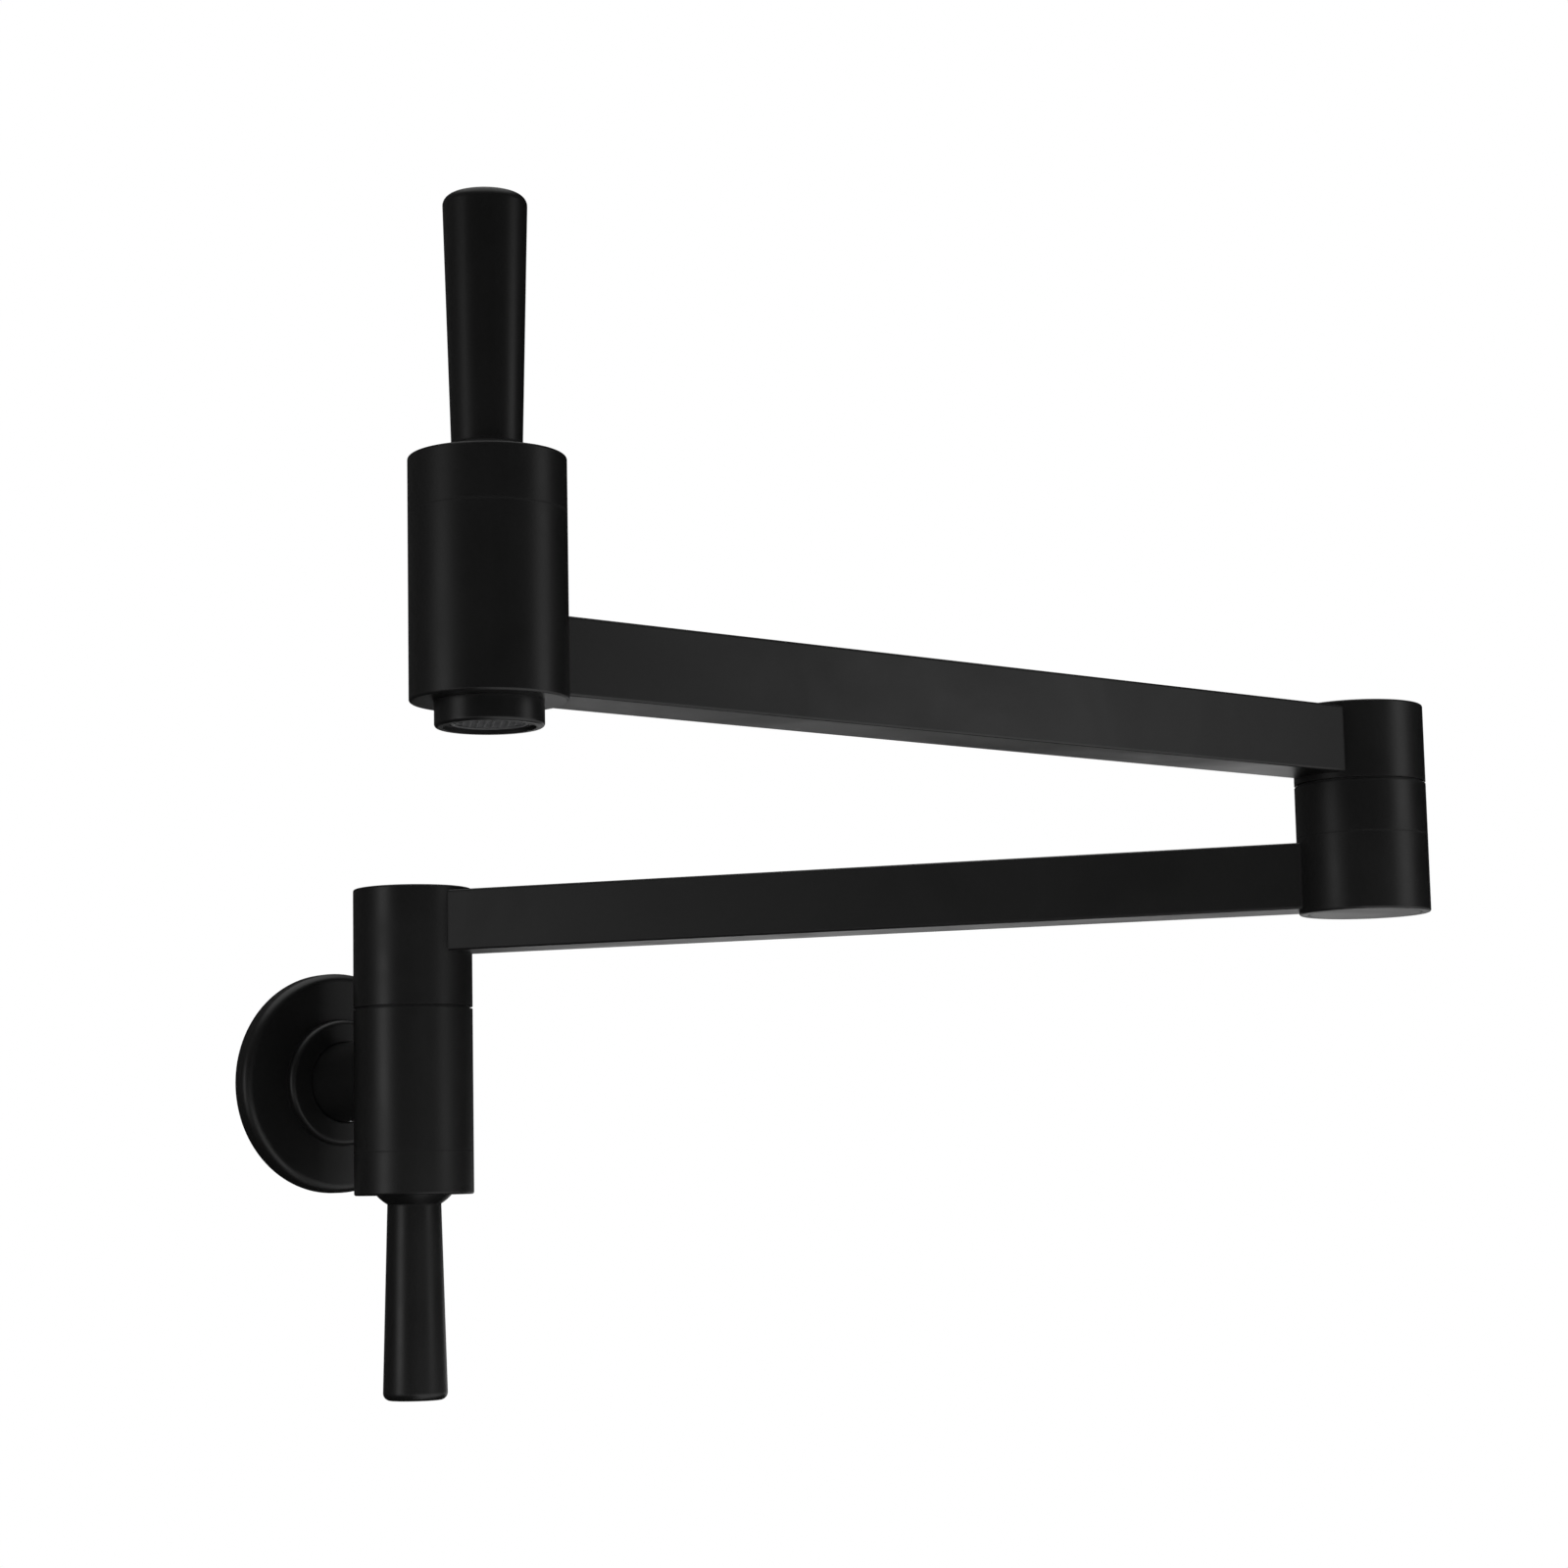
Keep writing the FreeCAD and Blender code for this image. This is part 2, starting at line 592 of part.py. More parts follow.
def flange_gasket():
    return tube(FLANGE_RADIUS - FLANGE_RIM, flange_hub_radius + GASKET_GAP, 0, GASKET_THICKNESS)


def flange_grip_ring():
    """Rubber ring that holds the flange on the neck, squeezed to fill its groove."""
    ring = Part.makeTorus(neck_hole, GRIP_RING_SECTION, point(0, 0, grip_ring_height))
    return ring.cut(cylinder(NECK_RADIUS, 0, FLANGE_THICKNESS + BOSS_HEIGHT))


def inlet_nipple():
    """Brass nipple: pipe thread into the wall and a hexagon that the spigot is brazed into."""
    hexagon_low = NIPPLE_WASHER_THICKNESS
    thread_end = -NIPPLE_THREAD_LENGTH - NIPPLE_TIP_CHAMFER
    thread = Part.makeCone(
        NIPPLE_THREAD_RADIUS - NIPPLE_TIP_CHAMFER, NIPPLE_THREAD_RADIUS, NIPPLE_TIP_CHAMFER,
        point(0, 0, thread_end),
    )
    thread = thread.fuse(cylinder(NIPPLE_THREAD_RADIUS, -NIPPLE_THREAD_LENGTH, 0))
    shape = thread.fuse(cylinder(NIPPLE_THREAD_RADIUS - NIPPLE_RELIEF, 0, hexagon_low))
    shape = shape.fuse(prism(nipple_hexagon, hexagon_low, hexagon_top))
    shape = shape.cut(cylinder(inlet_bore, thread_end - OVERRUN, hexagon_top))
    socket = cylinder(inlet_spigot_root, spigot_root_low, hexagon_top + OVERRUN)
    return shape.cut(socket).removeSplitter()


def inlet_spigot():
    """Brass tube brazed into the hexagon. It plugs into the neck with two O-rings, and the set
    screw holds it by its shallow groove."""
    shape = cylinder(inlet_spigot_root, spigot_root_low, spigot_tip)
    shape = shape.fuse(cylinder(inlet_spigot_radius, hexagon_top, spigot_tip)).removeSplitter()
    shape = shape.cut(cylinder(inlet_bore, spigot_root_low - OVERRUN, spigot_tip + OVERRUN))
    lock = tube(
        inlet_spigot_radius + OVERRUN, inlet_spigot_radius - LOCK_GROOVE_DEPTH,
        set_screw_height - lock_groove_half, set_screw_height + lock_groove_half,
    )
    shape = shape.cut(lock)
    for height in inlet_ring_heights:
        shape = shape.cut(ring_groove(inlet_spigot_radius, height))
    return shape


def nipple_washer():
    hole = NIPPLE_THREAD_RADIUS + THREAD_GAP
    return tube(hole + NIPPLE_WASHER_RIM, hole, 0, NIPPLE_WASHER_THICKNESS)


def ring_groove(shaft_radius, height):
    low = height - RING_GROOVE_WIDTH / 2
    return tube(
        shaft_radius + OVERRUN, shaft_radius - RING_GROOVE_DEPTH, low, low + RING_GROOVE_WIDTH
    )


def o_rings(shaft_radius, heights):
    """Rubber rings on the bottoms of their grooves, drawn just short of the bore around them."""
    centre = shaft_radius - RING_GROOVE_DEPTH + RING_SECTION
    rings = [Part.makeTorus(centre, RING_SECTION, point(0, 0, height)) for height in heights]
    return Part.makeCompound(rings)


def neck_set_screw():
    """Grub screw under the neck that locks the spigot, made lying on the inlet's axis."""
    low = inlet_spigot_radius - LOCK_GROOVE_DEPTH
    screw = cylinder(SET_SCREW_RADIUS, low, NECK_RADIUS)
    socket_low = NECK_RADIUS - SET_SCREW_SOCKET_DEPTH
    screw = screw.cut(prism(SET_SCREW_SOCKET, socket_low, NECK_RADIUS + OVERRUN))
    screw.rotate(point(0, 0, 0), point(0, 1, 0), HALF_TURN / 2)
    screw.translate(point(0, 0, set_screw_height))
    return screw


def at_wall(shape):
    """From the turned pieces' frame (+Z away from the wall, +X down) to the faucet's."""
    moved = shape.copy()
    moved.rotate(point(0, 0, 0), point(0, 0, 1), -HALF_TURN / 2)
    moved.rotate(point(0, 0, 0), point(1, 0, 0), HALF_TURN / 2)
    return moved


nipple_hexagon = 2 * (NIPPLE_THREAD_RADIUS + NIPPLE_HEX_STEP)
nipple_recess_radius = nipple_hexagon / math.sqrt(3) + NIPPLE_RECESS_GAP
flange_hub_radius = nipple_recess_radius + FLANGE_RIM
boss_face = FLANGE_THICKNESS + BOSS_HEIGHT
hexagon_top = NIPPLE_WASHER_THICKNESS + NIPPLE_HEX_HEIGHT
nipple_recess_depth = hexagon_top + NIPPLE_RECESS_ROOM
grip_ring_height = (nipple_recess_depth + boss_face) / 2
neck_root = WALL_STANDOFF - BODY_RADIUS
set_screw_height = boss_face + SET_SCREW_ROOM
set_screw_reach = WALL_STANDOFF - set_screw_height
lock_groove_half = SET_SCREW_RADIUS + LOCK_GROOVE_GAP
spigot_tip = neck_root - INLET_SPIGOT_STOP
spigot_root_low = hexagon_top - INLET_SPIGOT_ROOT_LENGTH
ring_step = RING_GROOVE_WIDTH + INLET_RING_LAND
inlet_ring_heights = (hexagon_top + ring_step / 2, spigot_tip - ring_step / 2)


# Swivel at the base: the stem stands in the lower valve body and the knuckle turns on it


def stem_ring_heights(low):
    first = low + RING_LAND + RING_GROOVE_WIDTH / 2
    return (first, first + RING_LAND + RING_GROOVE_WIDTH)


def circlip(low):
    ring = tube(
        stem_radius + CIRCLIP_RIM, stem_radius - CIRCLIP_BITE, low, low + CIRCLIP_THICKNESS
    )
    reach = stem_radius + CIRCLIP_RIM + OVERRUN
    mouth = Part.makeBox(reach, CIRCLIP_SLOT, CIRCLIP_THICKNESS, point(0, -CIRCLIP_SLOT / 2, low))
    return ring.cut(mouth)


def circlip_groove(low):
    return tube(
        stem_radius + OVERRUN, stem_radius - CIRCLIP_BITE, low, low + CIRCLIP_THICKNESS
    )


def thrust_washer(low):
    return tube(
        stem_radius + STEM_GAP + THRUST_WASHER_RIM, stem_hole, low, low + THRUST_WASHER_THICKNESS
    )


def swivel_washer(low):
    """Slide ring in the seam, set back a little so that the seam shows as a dark line."""
    return tube(BODY_RADIUS - WASHER_INSET, stem_hole, low + FILM, low + SWIVEL_GAP - FILM)


base_web_top = bar1_low + BAR_WALL
base_washer_low = base_web_top + FILM
base_circlip_low = base_washer_low + THRUST_WASHER_THICKNESS
base_stem_top = base_circlip_low + CIRCLIP_THICKNESS + STEM_TAIL
base_ring_heights = stem_ring_heights(base_knuckle_low)


def base_pivot_stem():
    stem = cylinder(stem_root_radius, lower_valve_top - STEM_ROOT_HEIGHT, lower_valve_top)
    stem = stem.fuse(cylinder(stem_radius, lower_valve_top - OVERRUN, base_stem_top))
    stem = stem.cut(cylinder(stem_bore, lower_valve_face, base_stem_top + OVERRUN))
    for height in base_ring_heights:
        stem = stem.cut(ring_groove(stem_radius, height))
    return stem.cut(circlip_groove(base_circlip_low)).removeSplitter()


def window(height, heading):
    """Water way through a knuckle's wall towards its bar."""
    return placed(rod_x(WINDOW_RADIUS, 0, BODY_RADIUS + OVERRUN, 0, height), 0, 0, 0, heading)


def cap(low):
    return cylinder(cap_seat_radius - CAP_GAP, low, low + CAP_THICKNESS)


def base_knuckle():
    """Round end of the first arm: bearing below, water chamber above, closed by a cap."""
    cap_low = base_knuckle_top - CAP_THICKNESS
    body = cylinder(BODY_RADIUS, base_knuckle_low, base_knuckle_top)
    body = rounded(body, EDGE_ROUND, base_knuckle_top, BODY_RADIUS)
    body = body.cut(cylinder(stem_hole, base_knuckle_low - OVERRUN, base_web_top + OVERRUN))
    body = body.cut(cylinder(chamber_radius, base_web_top, cap_low + OVERRUN))
    body = body.cut(cylinder(cap_seat_radius, cap_low, base_knuckle_top + OVERRUN))
    return body.cut(window(bar1_mid, ARM1_HEADING))


# Elbow: the stem hangs from the upper knuckle and turns in the spacer and the lower knuckle

elbow_web_low = elbow_lower_top - KNUCKLE_WEB
elbow_washer_low = elbow_web_low - FILM - THRUST_WASHER_THICKNESS
elbow_circlip_low = elbow_washer_low - CIRCLIP_THICKNESS
elbow_stem_low = elbow_circlip_low - STEM_TAIL
elbow_web_top = elbow_upper_low + KNUCKLE_WEB
elbow_ring_heights = stem_ring_heights(elbow_lower_top - RING_LAND / 2)


def elbow_lower_knuckle():
    cap_top = elbow_low + CAP_THICKNESS
    body = cylinder(BODY_RADIUS, elbow_low, elbow_lower_top)
    body = rounded(body, EDGE_ROUND, elbow_low, BODY_RADIUS)
    body = body.cut(cylinder(stem_hole, elbow_web_low - OVERRUN, elbow_lower_top + OVERRUN))
    body = body.cut(cylinder(chamber_radius, cap_top - OVERRUN, elbow_web_low))
    body = body.cut(cylinder(cap_seat_radius, elbow_low - OVERRUN, cap_top))
    seat = cylinder(
        SPACER_SPIGOT_RADIUS + THREAD_GAP, elbow_lower_top - SPACER_SPIGOT_HEIGHT - THREAD_GAP,
        elbow_lower_top + OVERRUN,
    )
    return body.cut(seat).cut(window(bar1_mid, ARM1_HEADING + HALF_TURN))


def elbow_spacer():
    """Ring that lifts the second arm clear of the first and carries the stem's seals."""
    ring = cylinder(BODY_RADIUS, elbow_lower_top, spacer_top)
    ring = ring.fuse(cylinder(SPACER_SPIGOT_RADIUS, elbow_lower_top - SPACER_SPIGOT_HEIGHT, spacer_top))
    hole = cylinder(stem_hole, elbow_lower_top - SPACER_SPIGOT_HEIGHT - OVERRUN, spacer_top + OVERRUN)
    return ring.removeSplitter().cut(hole)


def elbow_pivot_stem():
    head_top = elbow_web_top + STEM_HEAD_HEIGHT
    stem = cylinder(stem_radius, elbow_stem_low, elbow_web_top + OVERRUN)
    stem = stem.fuse(cylinder(stem_radius + STEM_HEAD_STEP, elbow_web_top, head_top))
    stem = stem.cut(cylinder(stem_bore, elbow_stem_low - OVERRUN, head_top + OVERRUN))
    for height in elbow_ring_heights:
        stem = stem.cut(ring_groove(stem_radius, height))
    return stem.cut(circlip_groove(elbow_circlip_low)).removeSplitter()


def elbow_upper_knuckle():
    cap_low = elbow_top - CAP_THICKNESS
    body = cylinder(BODY_RADIUS, elbow_upper_low, elbow_top)
    body = rounded(body, EDGE_ROUND, elbow_top, BODY_RADIUS)
    body = body.cut(cylinder(stem_radius, elbow_upper_low - OVERRUN, elbow_web_top + OVERRUN))
    body = body.cut(cylinder(chamber_radius, elbow_web_top, cap_low + OVERRUN))
    body = body.cut(cylinder(cap_seat_radius, cap_low, elbow_top + OVERRUN))
    return body.cut(window(bar2_mid, ARM2_HEADING))


def arm_bar(low):
    """Square tube with eased corners, its ends hollowed to sit against the round bodies."""
    def block(width, height, corner, bottom):
        box = Part.makeBox(ARM_PITCH, width, height, point(0, -width / 2, bottom))
        along = [e for e in box.Edges if abs(e.tangentAt(e.FirstParameter).x) > 0.5]
        return box.makeFillet(corner, along)

    inner_corner = BAR_CORNER / 2
    outside = block(BAR_WIDTH, BAR_HEIGHT, BAR_CORNER, low)
    inside = block(BAR_WIDTH - 2 * BAR_WALL, BAR_HEIGHT - 2 * BAR_WALL, inner_corner, low + BAR_WALL)
    bar = outside.cut(inside)
    for end in (0, ARM_PITCH):
        bar = bar.cut(cylinder(BODY_RADIUS, low - OVERRUN, low + BAR_HEIGHT + OVERRUN, x=end))
    return bar


# Spout, on the upper valve's own axis

aerator_low = spout_valve_low - AERATOR_DROP
insert_radius = collar_radius - AERATOR_COLLAR_WALL - INSERT_GAP


def aerator_shell():
    """Turned ring that screws up into the valve body and holds the insert."""
    collar_top = spout_valve_low + AERATOR_COLLAR_HEIGHT
    shell = cylinder(AERATOR_RADIUS, aerator_low, spout_valve_low)
    shell = rounded(shell, AERATOR_EDGE_ROUND, aerator_low, AERATOR_RADIUS)
    shell = shell.fuse(cylinder(collar_radius, spout_valve_low - OVERRUN, collar_top))
    shell = shell.removeSplitter()
    lip = aerator_low + AERATOR_LIP_RECESS
    pocket = cylinder(insert_radius + INSERT_GAP, lip + INSERT_CUP_WALL, collar_top + OVERRUN)
    mouth = cylinder(insert_radius - INSERT_CUP_WALL, aerator_low - OVERRUN, collar_top)
    recess = cylinder(AERATOR_RADIUS - AERATOR_MOUTH_RIM, aerator_low - OVERRUN, lip)
    return shell.cut(pocket).cut(mouth).cut(recess)


def insert_cells():
    """Centres of the insert's water cells: one in the middle and six more for each ring."""
    cells = [(0.0, 0.0)]
    for ring in range(1, INSERT_CELL_RINGS + 1):
        for i in range(6 * ring):
            turn = 2 * math.pi * i / (6 * ring)
            reach = ring * insert_radius * INSERT_CELL_PITCH_SHARE
            cells.append((reach * math.cos(turn), reach * math.sin(turn)))
    return cells


def aerator_insert():
    """Moulded jet former: a cup with a plate of small cells."""
    lip = aerator_low + AERATOR_LIP_RECESS
    low = lip + INSERT_CUP_WALL
    high = low + INSERT_HEIGHT
    cup = cylinder(insert_radius, low, high)
    cup = cup.fuse(cylinder(insert_radius - INSERT_CUP_WALL - INSERT_GAP, lip, low + OVERRUN))
    cup = cup.removeSplitter()
    hollow_low = low + INSERT_CUP_WALL
    cup = cup.cut(cylinder(insert_radius - INSERT_CUP_WALL, hollow_low, high + OVERRUN))
    drills = [
        cylinder(INSERT_CELL_RADIUS, lip - OVERRUN, hollow_low + OVERRUN, x=x, y=y)
        for x, y in insert_cells()
    ]
    return cup.cut(Part.makeCompound(drills))


def aerator_washer():
    low = spout_valve_low + AERATOR_COLLAR_HEIGHT
    high = spout_valve_low + AERATOR_SOCKET_DEPTH
    return tube(collar_radius, collar_radius - AERATOR_WASHER_RIM, low, high)


def faucet():
    """Every piece of the faucet, by name, in its place."""
    pieces = {}
    for name, shape in valve_pieces().items():
        pieces["base_" + name] = at_lower_valve(shape)
        pieces["outlet_" + name] = at_spout_valve(shape)
    pieces["base_valve_body"] = at_lower_valve(lower_valve_body())
    pieces["base_inlet_neck"] = at_lower_valve(inlet_neck())
    pieces["outlet_valve_body"] = at_spout_valve(spout_valve_body())

    wall = {
        "wall_flange": wall_flange(),
        "flange_gasket": flange_gasket(),
        "flange_grip_ring": flange_grip_ring(),
        "inlet_nipple": inlet_nipple(),
        "nipple_washer": nipple_washer(),
        "inlet_spigot": inlet_spigot(),
        "inlet_o_rings": o_rings(inlet_spigot_radius, inlet_ring_heights),
        "neck_set_screw": neck_set_screw(),
    }
    for name, shape in wall.items():
        pieces[name] = at_wall(shape)

    base = {
        "base_pivot_stem": base_pivot_stem(),
        "base_stem_o_rings": o_rings(stem_radius, base_ring_heights),
        "base_swivel_washer": swivel_washer(lower_valve_top),
        "base_thrust_washer": thrust_washer(base_washer_low),
        "base_circlip": circlip(base_circlip_low),
        "base_knuckle": base_knuckle(),
        "base_knuckle_cap": cap(base_knuckle_top - CAP_THICKNESS),
    }
    for name, shape in base.items():
        pieces[name] = placed(shape, base_x, base_y, 0)

    elbow = {
        "elbow_lower_knuckle": elbow_lower_knuckle(),
        "elbow_bottom_cap": cap(elbow_low),
        "elbow_spacer": elbow_spacer(),
        "elbow_swivel_washer": swivel_washer(spacer_top),
        "elbow_pivot_stem": elbow_pivot_stem(),
        "elbow_stem_o_rings": o_rings(stem_radius, elbow_ring_heights),
        "elbow_thrust_washer": thrust_washer(elbow_washer_low),
        "elbow_circlip": circlip(elbow_circlip_low),
        "elbow_upper_knuckle": elbow_upper_knuckle(),
        "elbow_top_cap": cap(elbow_top - CAP_THICKNESS),
    }
    for name, shape in elbow.items():
        pieces[name] = placed(shape, elbow_x, elbow_y, 0)

    pieces["arm_1_bar"] = placed(arm_bar(bar1_low), base_x, base_y, 0, ARM1_HEADING)
    pieces["arm_2_bar"] = placed(arm_bar(bar2_low), elbow_x, elbow_y, 0, ARM2_HEADING)

    spout = {
        "aerator_shell": aerator_shell(),
        "aerator_insert": aerator_insert(),
        "aerator_washer": aerator_washer(),
    }
    for name, shape in spout.items():
        pieces[name] = placed(shape, spout_x, spout_y, 0)
    return pieces


os.makedirs("parts", exist_ok=True)
for name, shape in faucet().items():
    shape.exportStep(f"parts/{name}.step")
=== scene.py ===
import math

import bpy
from mathutils import Matrix, Vector


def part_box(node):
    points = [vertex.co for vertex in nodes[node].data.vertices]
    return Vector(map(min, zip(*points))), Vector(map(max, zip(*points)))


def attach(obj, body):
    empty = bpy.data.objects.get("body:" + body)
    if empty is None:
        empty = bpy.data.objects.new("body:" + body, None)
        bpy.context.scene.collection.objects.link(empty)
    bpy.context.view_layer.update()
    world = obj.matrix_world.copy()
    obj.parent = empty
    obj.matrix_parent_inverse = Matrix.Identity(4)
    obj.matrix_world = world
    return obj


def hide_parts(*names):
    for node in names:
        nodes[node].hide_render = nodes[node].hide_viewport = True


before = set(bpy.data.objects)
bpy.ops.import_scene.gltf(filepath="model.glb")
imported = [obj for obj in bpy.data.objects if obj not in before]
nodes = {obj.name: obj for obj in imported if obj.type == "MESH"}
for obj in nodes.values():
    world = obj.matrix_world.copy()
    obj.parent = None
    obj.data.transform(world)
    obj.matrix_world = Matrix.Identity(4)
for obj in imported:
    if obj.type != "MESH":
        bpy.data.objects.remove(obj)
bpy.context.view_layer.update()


# Camera
# It stands low and to the left, about 0.9 m away, and looks slightly up along the wall, as the
# photograph does. Its place was solved from measured edges of the picture.
camera_place = (-0.529275, -0.882468, -0.041693)
yaw, pitch, roll = (math.radians(angle) for angle in (-38.765, 7.318, -1.180))
scene = bpy.context.scene
camera_data = bpy.data.cameras.new("camera")
camera_data.sensor_fit = "HORIZONTAL"
camera_data.sensor_width = 36.0
camera_data.lens = 76.52
camera_data.clip_start = 0.01
camera = bpy.data.objects.new("camera", camera_data)
scene.collection.objects.link(camera)
camera.matrix_world = (
    Matrix.Translation(camera_place)
    @ Matrix.Rotation(yaw, 4, "Z")
    @ Matrix.Rotation(math.pi / 2 + pitch, 4, "X")
    @ Matrix.Rotation(roll, 4, "Z")
)
scene.camera = camera
scene.view_settings.view_transform = "Standard"


# Studio light
# A large soft box to the left and a small one to the right, nearer to the elbow, give each round
# body its two upright bands of light. An even white surround lights the rest.
faucet_middle = Vector((0.01, -0.2, 0.02))


def soft_box(name, heading, distance, height, width, tall, watts):
    """A rectangular lamp at a heading about Z from the faucet's middle, facing it."""
    lamp = bpy.data.lights.new(name, "AREA")
    lamp.shape = "RECTANGLE"
    lamp.size = width
    lamp.size_y = tall
    lamp.energy = watts
    spot = bpy.data.objects.new(name, lamp)
    turn = math.radians(heading)
    place = faucet_middle + Vector((distance * math.cos(turn), distance * math.sin(turn), height))
    spot.location = place
    spot.visible_camera = False
    spot.rotation_euler = (faucet_middle - place).to_track_quat("-Z", "Y").to_euler()
    scene.collection.objects.link(spot)


soft_box(
    "left_soft_box", heading=-187.0, distance=1.5, height=-0.1, width=0.5, tall=0.8, watts=2.2
)
soft_box(
    "right_soft_box", heading=-54.0, distance=0.65, height=0.12, width=0.23, tall=0.39, watts=0.31
)


def node_maker(tree):
    """Two helpers for a node tree: one adds a node with its settings, one joins two sockets.
    A setting names one of the node's inputs, with _ for a space, or else a property of it."""

    def add(kind, **settings):
        node = tree.nodes.new(kind)
        for key, value in settings.items():
            socket = node.inputs.get(key.replace("_", " "))
            if socket is None:
                setattr(node, key, value)
            else:
                socket.default_value = value
        return node

    return add, tree.links.new


def worked(add, link, operation, *values):
    """The result of one sum, each value a socket or a plain number."""
    node = add("ShaderNodeMath", operation=operation)
    for socket, value in zip(node.inputs, values):
        if isinstance(value, bpy.types.NodeSocket):
            link(value, socket)
        else:
            socket.default_value = value
    return node.outputs[0]


def new_shader(owner):
    """The emptied node tree of a material or a world, ready to be filled."""
    owner.use_nodes = True
    owner.node_tree.nodes.clear()
    return node_maker(owner.node_tree)


def seen_rays(add, link):
    """1 for what the camera sees, by itself, in a reflection or through glass, else 0."""
    rays = add("ShaderNodeLightPath").outputs
    direct = worked(add, link, "MAXIMUM", rays["Is Camera Ray"], rays["Is Glossy Ray"])
    return worked(add, link, "MAXIMUM", direct, rays["Is Transmission Ray"])


surround = bpy.data.worlds.new("surround")
scene.world = surround
add, link = new_shader(surround)
fill = add("ShaderNodeBackground", Color=(1.0, 1.0, 1.0, 1.0), Strength=0.7)
backdrop = add("ShaderNodeBackground", Color=(1.0, 1.0, 1.0, 1.0), Strength=1.0)
either = add("ShaderNodeMixShader")
out = add("ShaderNodeOutputWorld")
link(seen_rays(add, link), either.inputs[0])
link(fill.outputs[0], either.inputs[1])
link(backdrop.outputs[0], either.inputs[2])
link(either.outputs[0], out.inputs["Surface"])


# Floor and dark cards
# A pale floor well below keeps the faucet's shadow and turns plain white further off. Dark cards,
# seen only in reflections, keep the coat dark, but for a low white slit that lights undersides.
def stage_mesh(name, points, faces, material):
    """A mesh of the studio, which isn't part of the faucet."""
    mesh = bpy.data.meshes.new(name)
    mesh.from_pydata(points, [], faces)
    mesh.materials.append(material)
    piece = bpy.data.objects.new(name, mesh)
    scene.collection.objects.link(piece)
    return piece


# The share of plain white in the seen floor, near the faucet and far off, and the two reaches
near_white, far_white = 0.9, 1.0
near_reach, far_reach = 0.5, 1.8
floor_tones = (0.78, 0.78, 0.78, 1.0), (0.82, 0.82, 0.82, 1.0)
floor_paint = bpy.data.materials.new("pale_floor")
add, link = new_shader(floor_paint)
where = add("ShaderNodeTexCoord")
mottle = add("ShaderNodeTexNoise", Scale=3.0, Detail=3.0)
tone = add("ShaderNodeValToRGB")
for element, floor_tone in zip(tone.color_ramp.elements, floor_tones):
    element.color = floor_tone
paint = add("ShaderNodeBsdfPrincipled", Roughness=0.8)
glow = add("ShaderNodeEmission", Strength=1.0)
lit = add("ShaderNodeMixShader")
out = add("ShaderNodeOutputMaterial")
link(where.outputs["Object"], mottle.inputs["Vector"])
link(mottle.outputs["Fac"], tone.inputs["Fac"])
link(tone.outputs["Color"], paint.inputs["Base Color"])
from_middle = add("ShaderNodeVectorMath", operation="LENGTH")
white_share = add(
    "ShaderNodeMapRange",
    From_Min=near_reach, From_Max=far_reach, To_Min=near_white, To_Max=far_white,
)
link(where.outputs["Object"], from_middle.inputs[0])
link(from_middle.outputs["Value"], white_share.inputs["Value"])
seen_white = worked(add, link, "MULTIPLY", seen_rays(add, link), white_share.outputs["Result"])
link(seen_white, lit.inputs[0])
link(paint.outputs[0], lit.inputs[1])
link(glow.outputs[0], lit.inputs[2])
link(lit.outputs[0], out.inputs["Surface"])

floor_half, floor_height = 4.0, -0.42
floor_corners = ((-1, -1), (1, -1), (1, 1), (-1, 1))
stage_mesh(
    "floor",
    [(x * floor_half, y * floor_half, floor_height) for x, y in floor_corners],
    [(0, 1, 2, 3)],
    floor_paint,
)


def card_paint(name, tone):
    """A dull grey of one tone."""
    paint = bpy.data.materials.new(name)
    add, link = new_shader(paint)
    dull = add("ShaderNodeBsdfDiffuse", Color=(tone, tone, tone, 1.0))
    out = add("ShaderNodeOutputMaterial")
    link(dull.outputs[0], out.inputs["Surface"])
    return paint


card_black = card_paint("card_black", 0.02)
card_grey = card_paint("card_grey", 0.08)
card_steps = 32


def card(name, heading, half_width, corners, paint=card_black):
    """A dark sector about the faucet's middle that only reflections see. The corners are the
    radius and height of its two long edges."""
    points = []
    for i in range(card_steps + 1):
        turn = math.radians(heading + half_width * (2 * i / card_steps - 1))
        for radius, height in corners:
            x = faucet_middle.x + radius * math.cos(turn)
            y = faucet_middle.y + radius * math.sin(turn)
            points.append((x, y, height))
    faces = [(2 * i, 2 * i + 2, 2 * i + 3, 2 * i + 1) for i in range(card_steps)]
    piece = stage_mesh(name, points, faces, paint)
    piece.visible_camera = False
    piece.visible_diffuse = False
    piece.visible_transmission = False
    piece.visible_shadow = False


def round_card(name, heading, half_width, low, radius=2.2, paint=card_black):
    """A curved upright card."""
    card_top = 3.2
    card(name, heading, half_width, ((radius, low), (radius, card_top)), paint)


def floor_card(name, heading, half_width, inner, outer):
    """A sector that lies just over the floor."""
    just_over = floor_height + 0.005
    card(name, heading, half_width, ((outer, just_over), (inner, just_over)))


round_card("card_behind", heading=38.0, half_width=20.0, low=-0.11)
round_card("card_right", heading=-26.0, half_width=44.0, low=-0.3)
round_card("card_behind_left", heading=120.0, half_width=62.0, low=-0.41, paint=card_grey)
round_card("card_behind_camera", heading=-124.0, half_width=60.0, low=-0.41, radius=2.25)
floor_card("card_on_floor_right", heading=26.0, half_width=31.0, inner=0.1, outer=1.3)
floor_card("card_on_floor_far_right", heading=-8.0, half_width=25.0, inner=1.3, outer=2.2)
floor_card("card_on_floor_left", heading=120.0, half_width=62.0, inner=0.1, outer=3.9)
floor_card("card_on_floor_front", heading=-160.0, half_width=26.0, inner=0.02, outer=1.3)


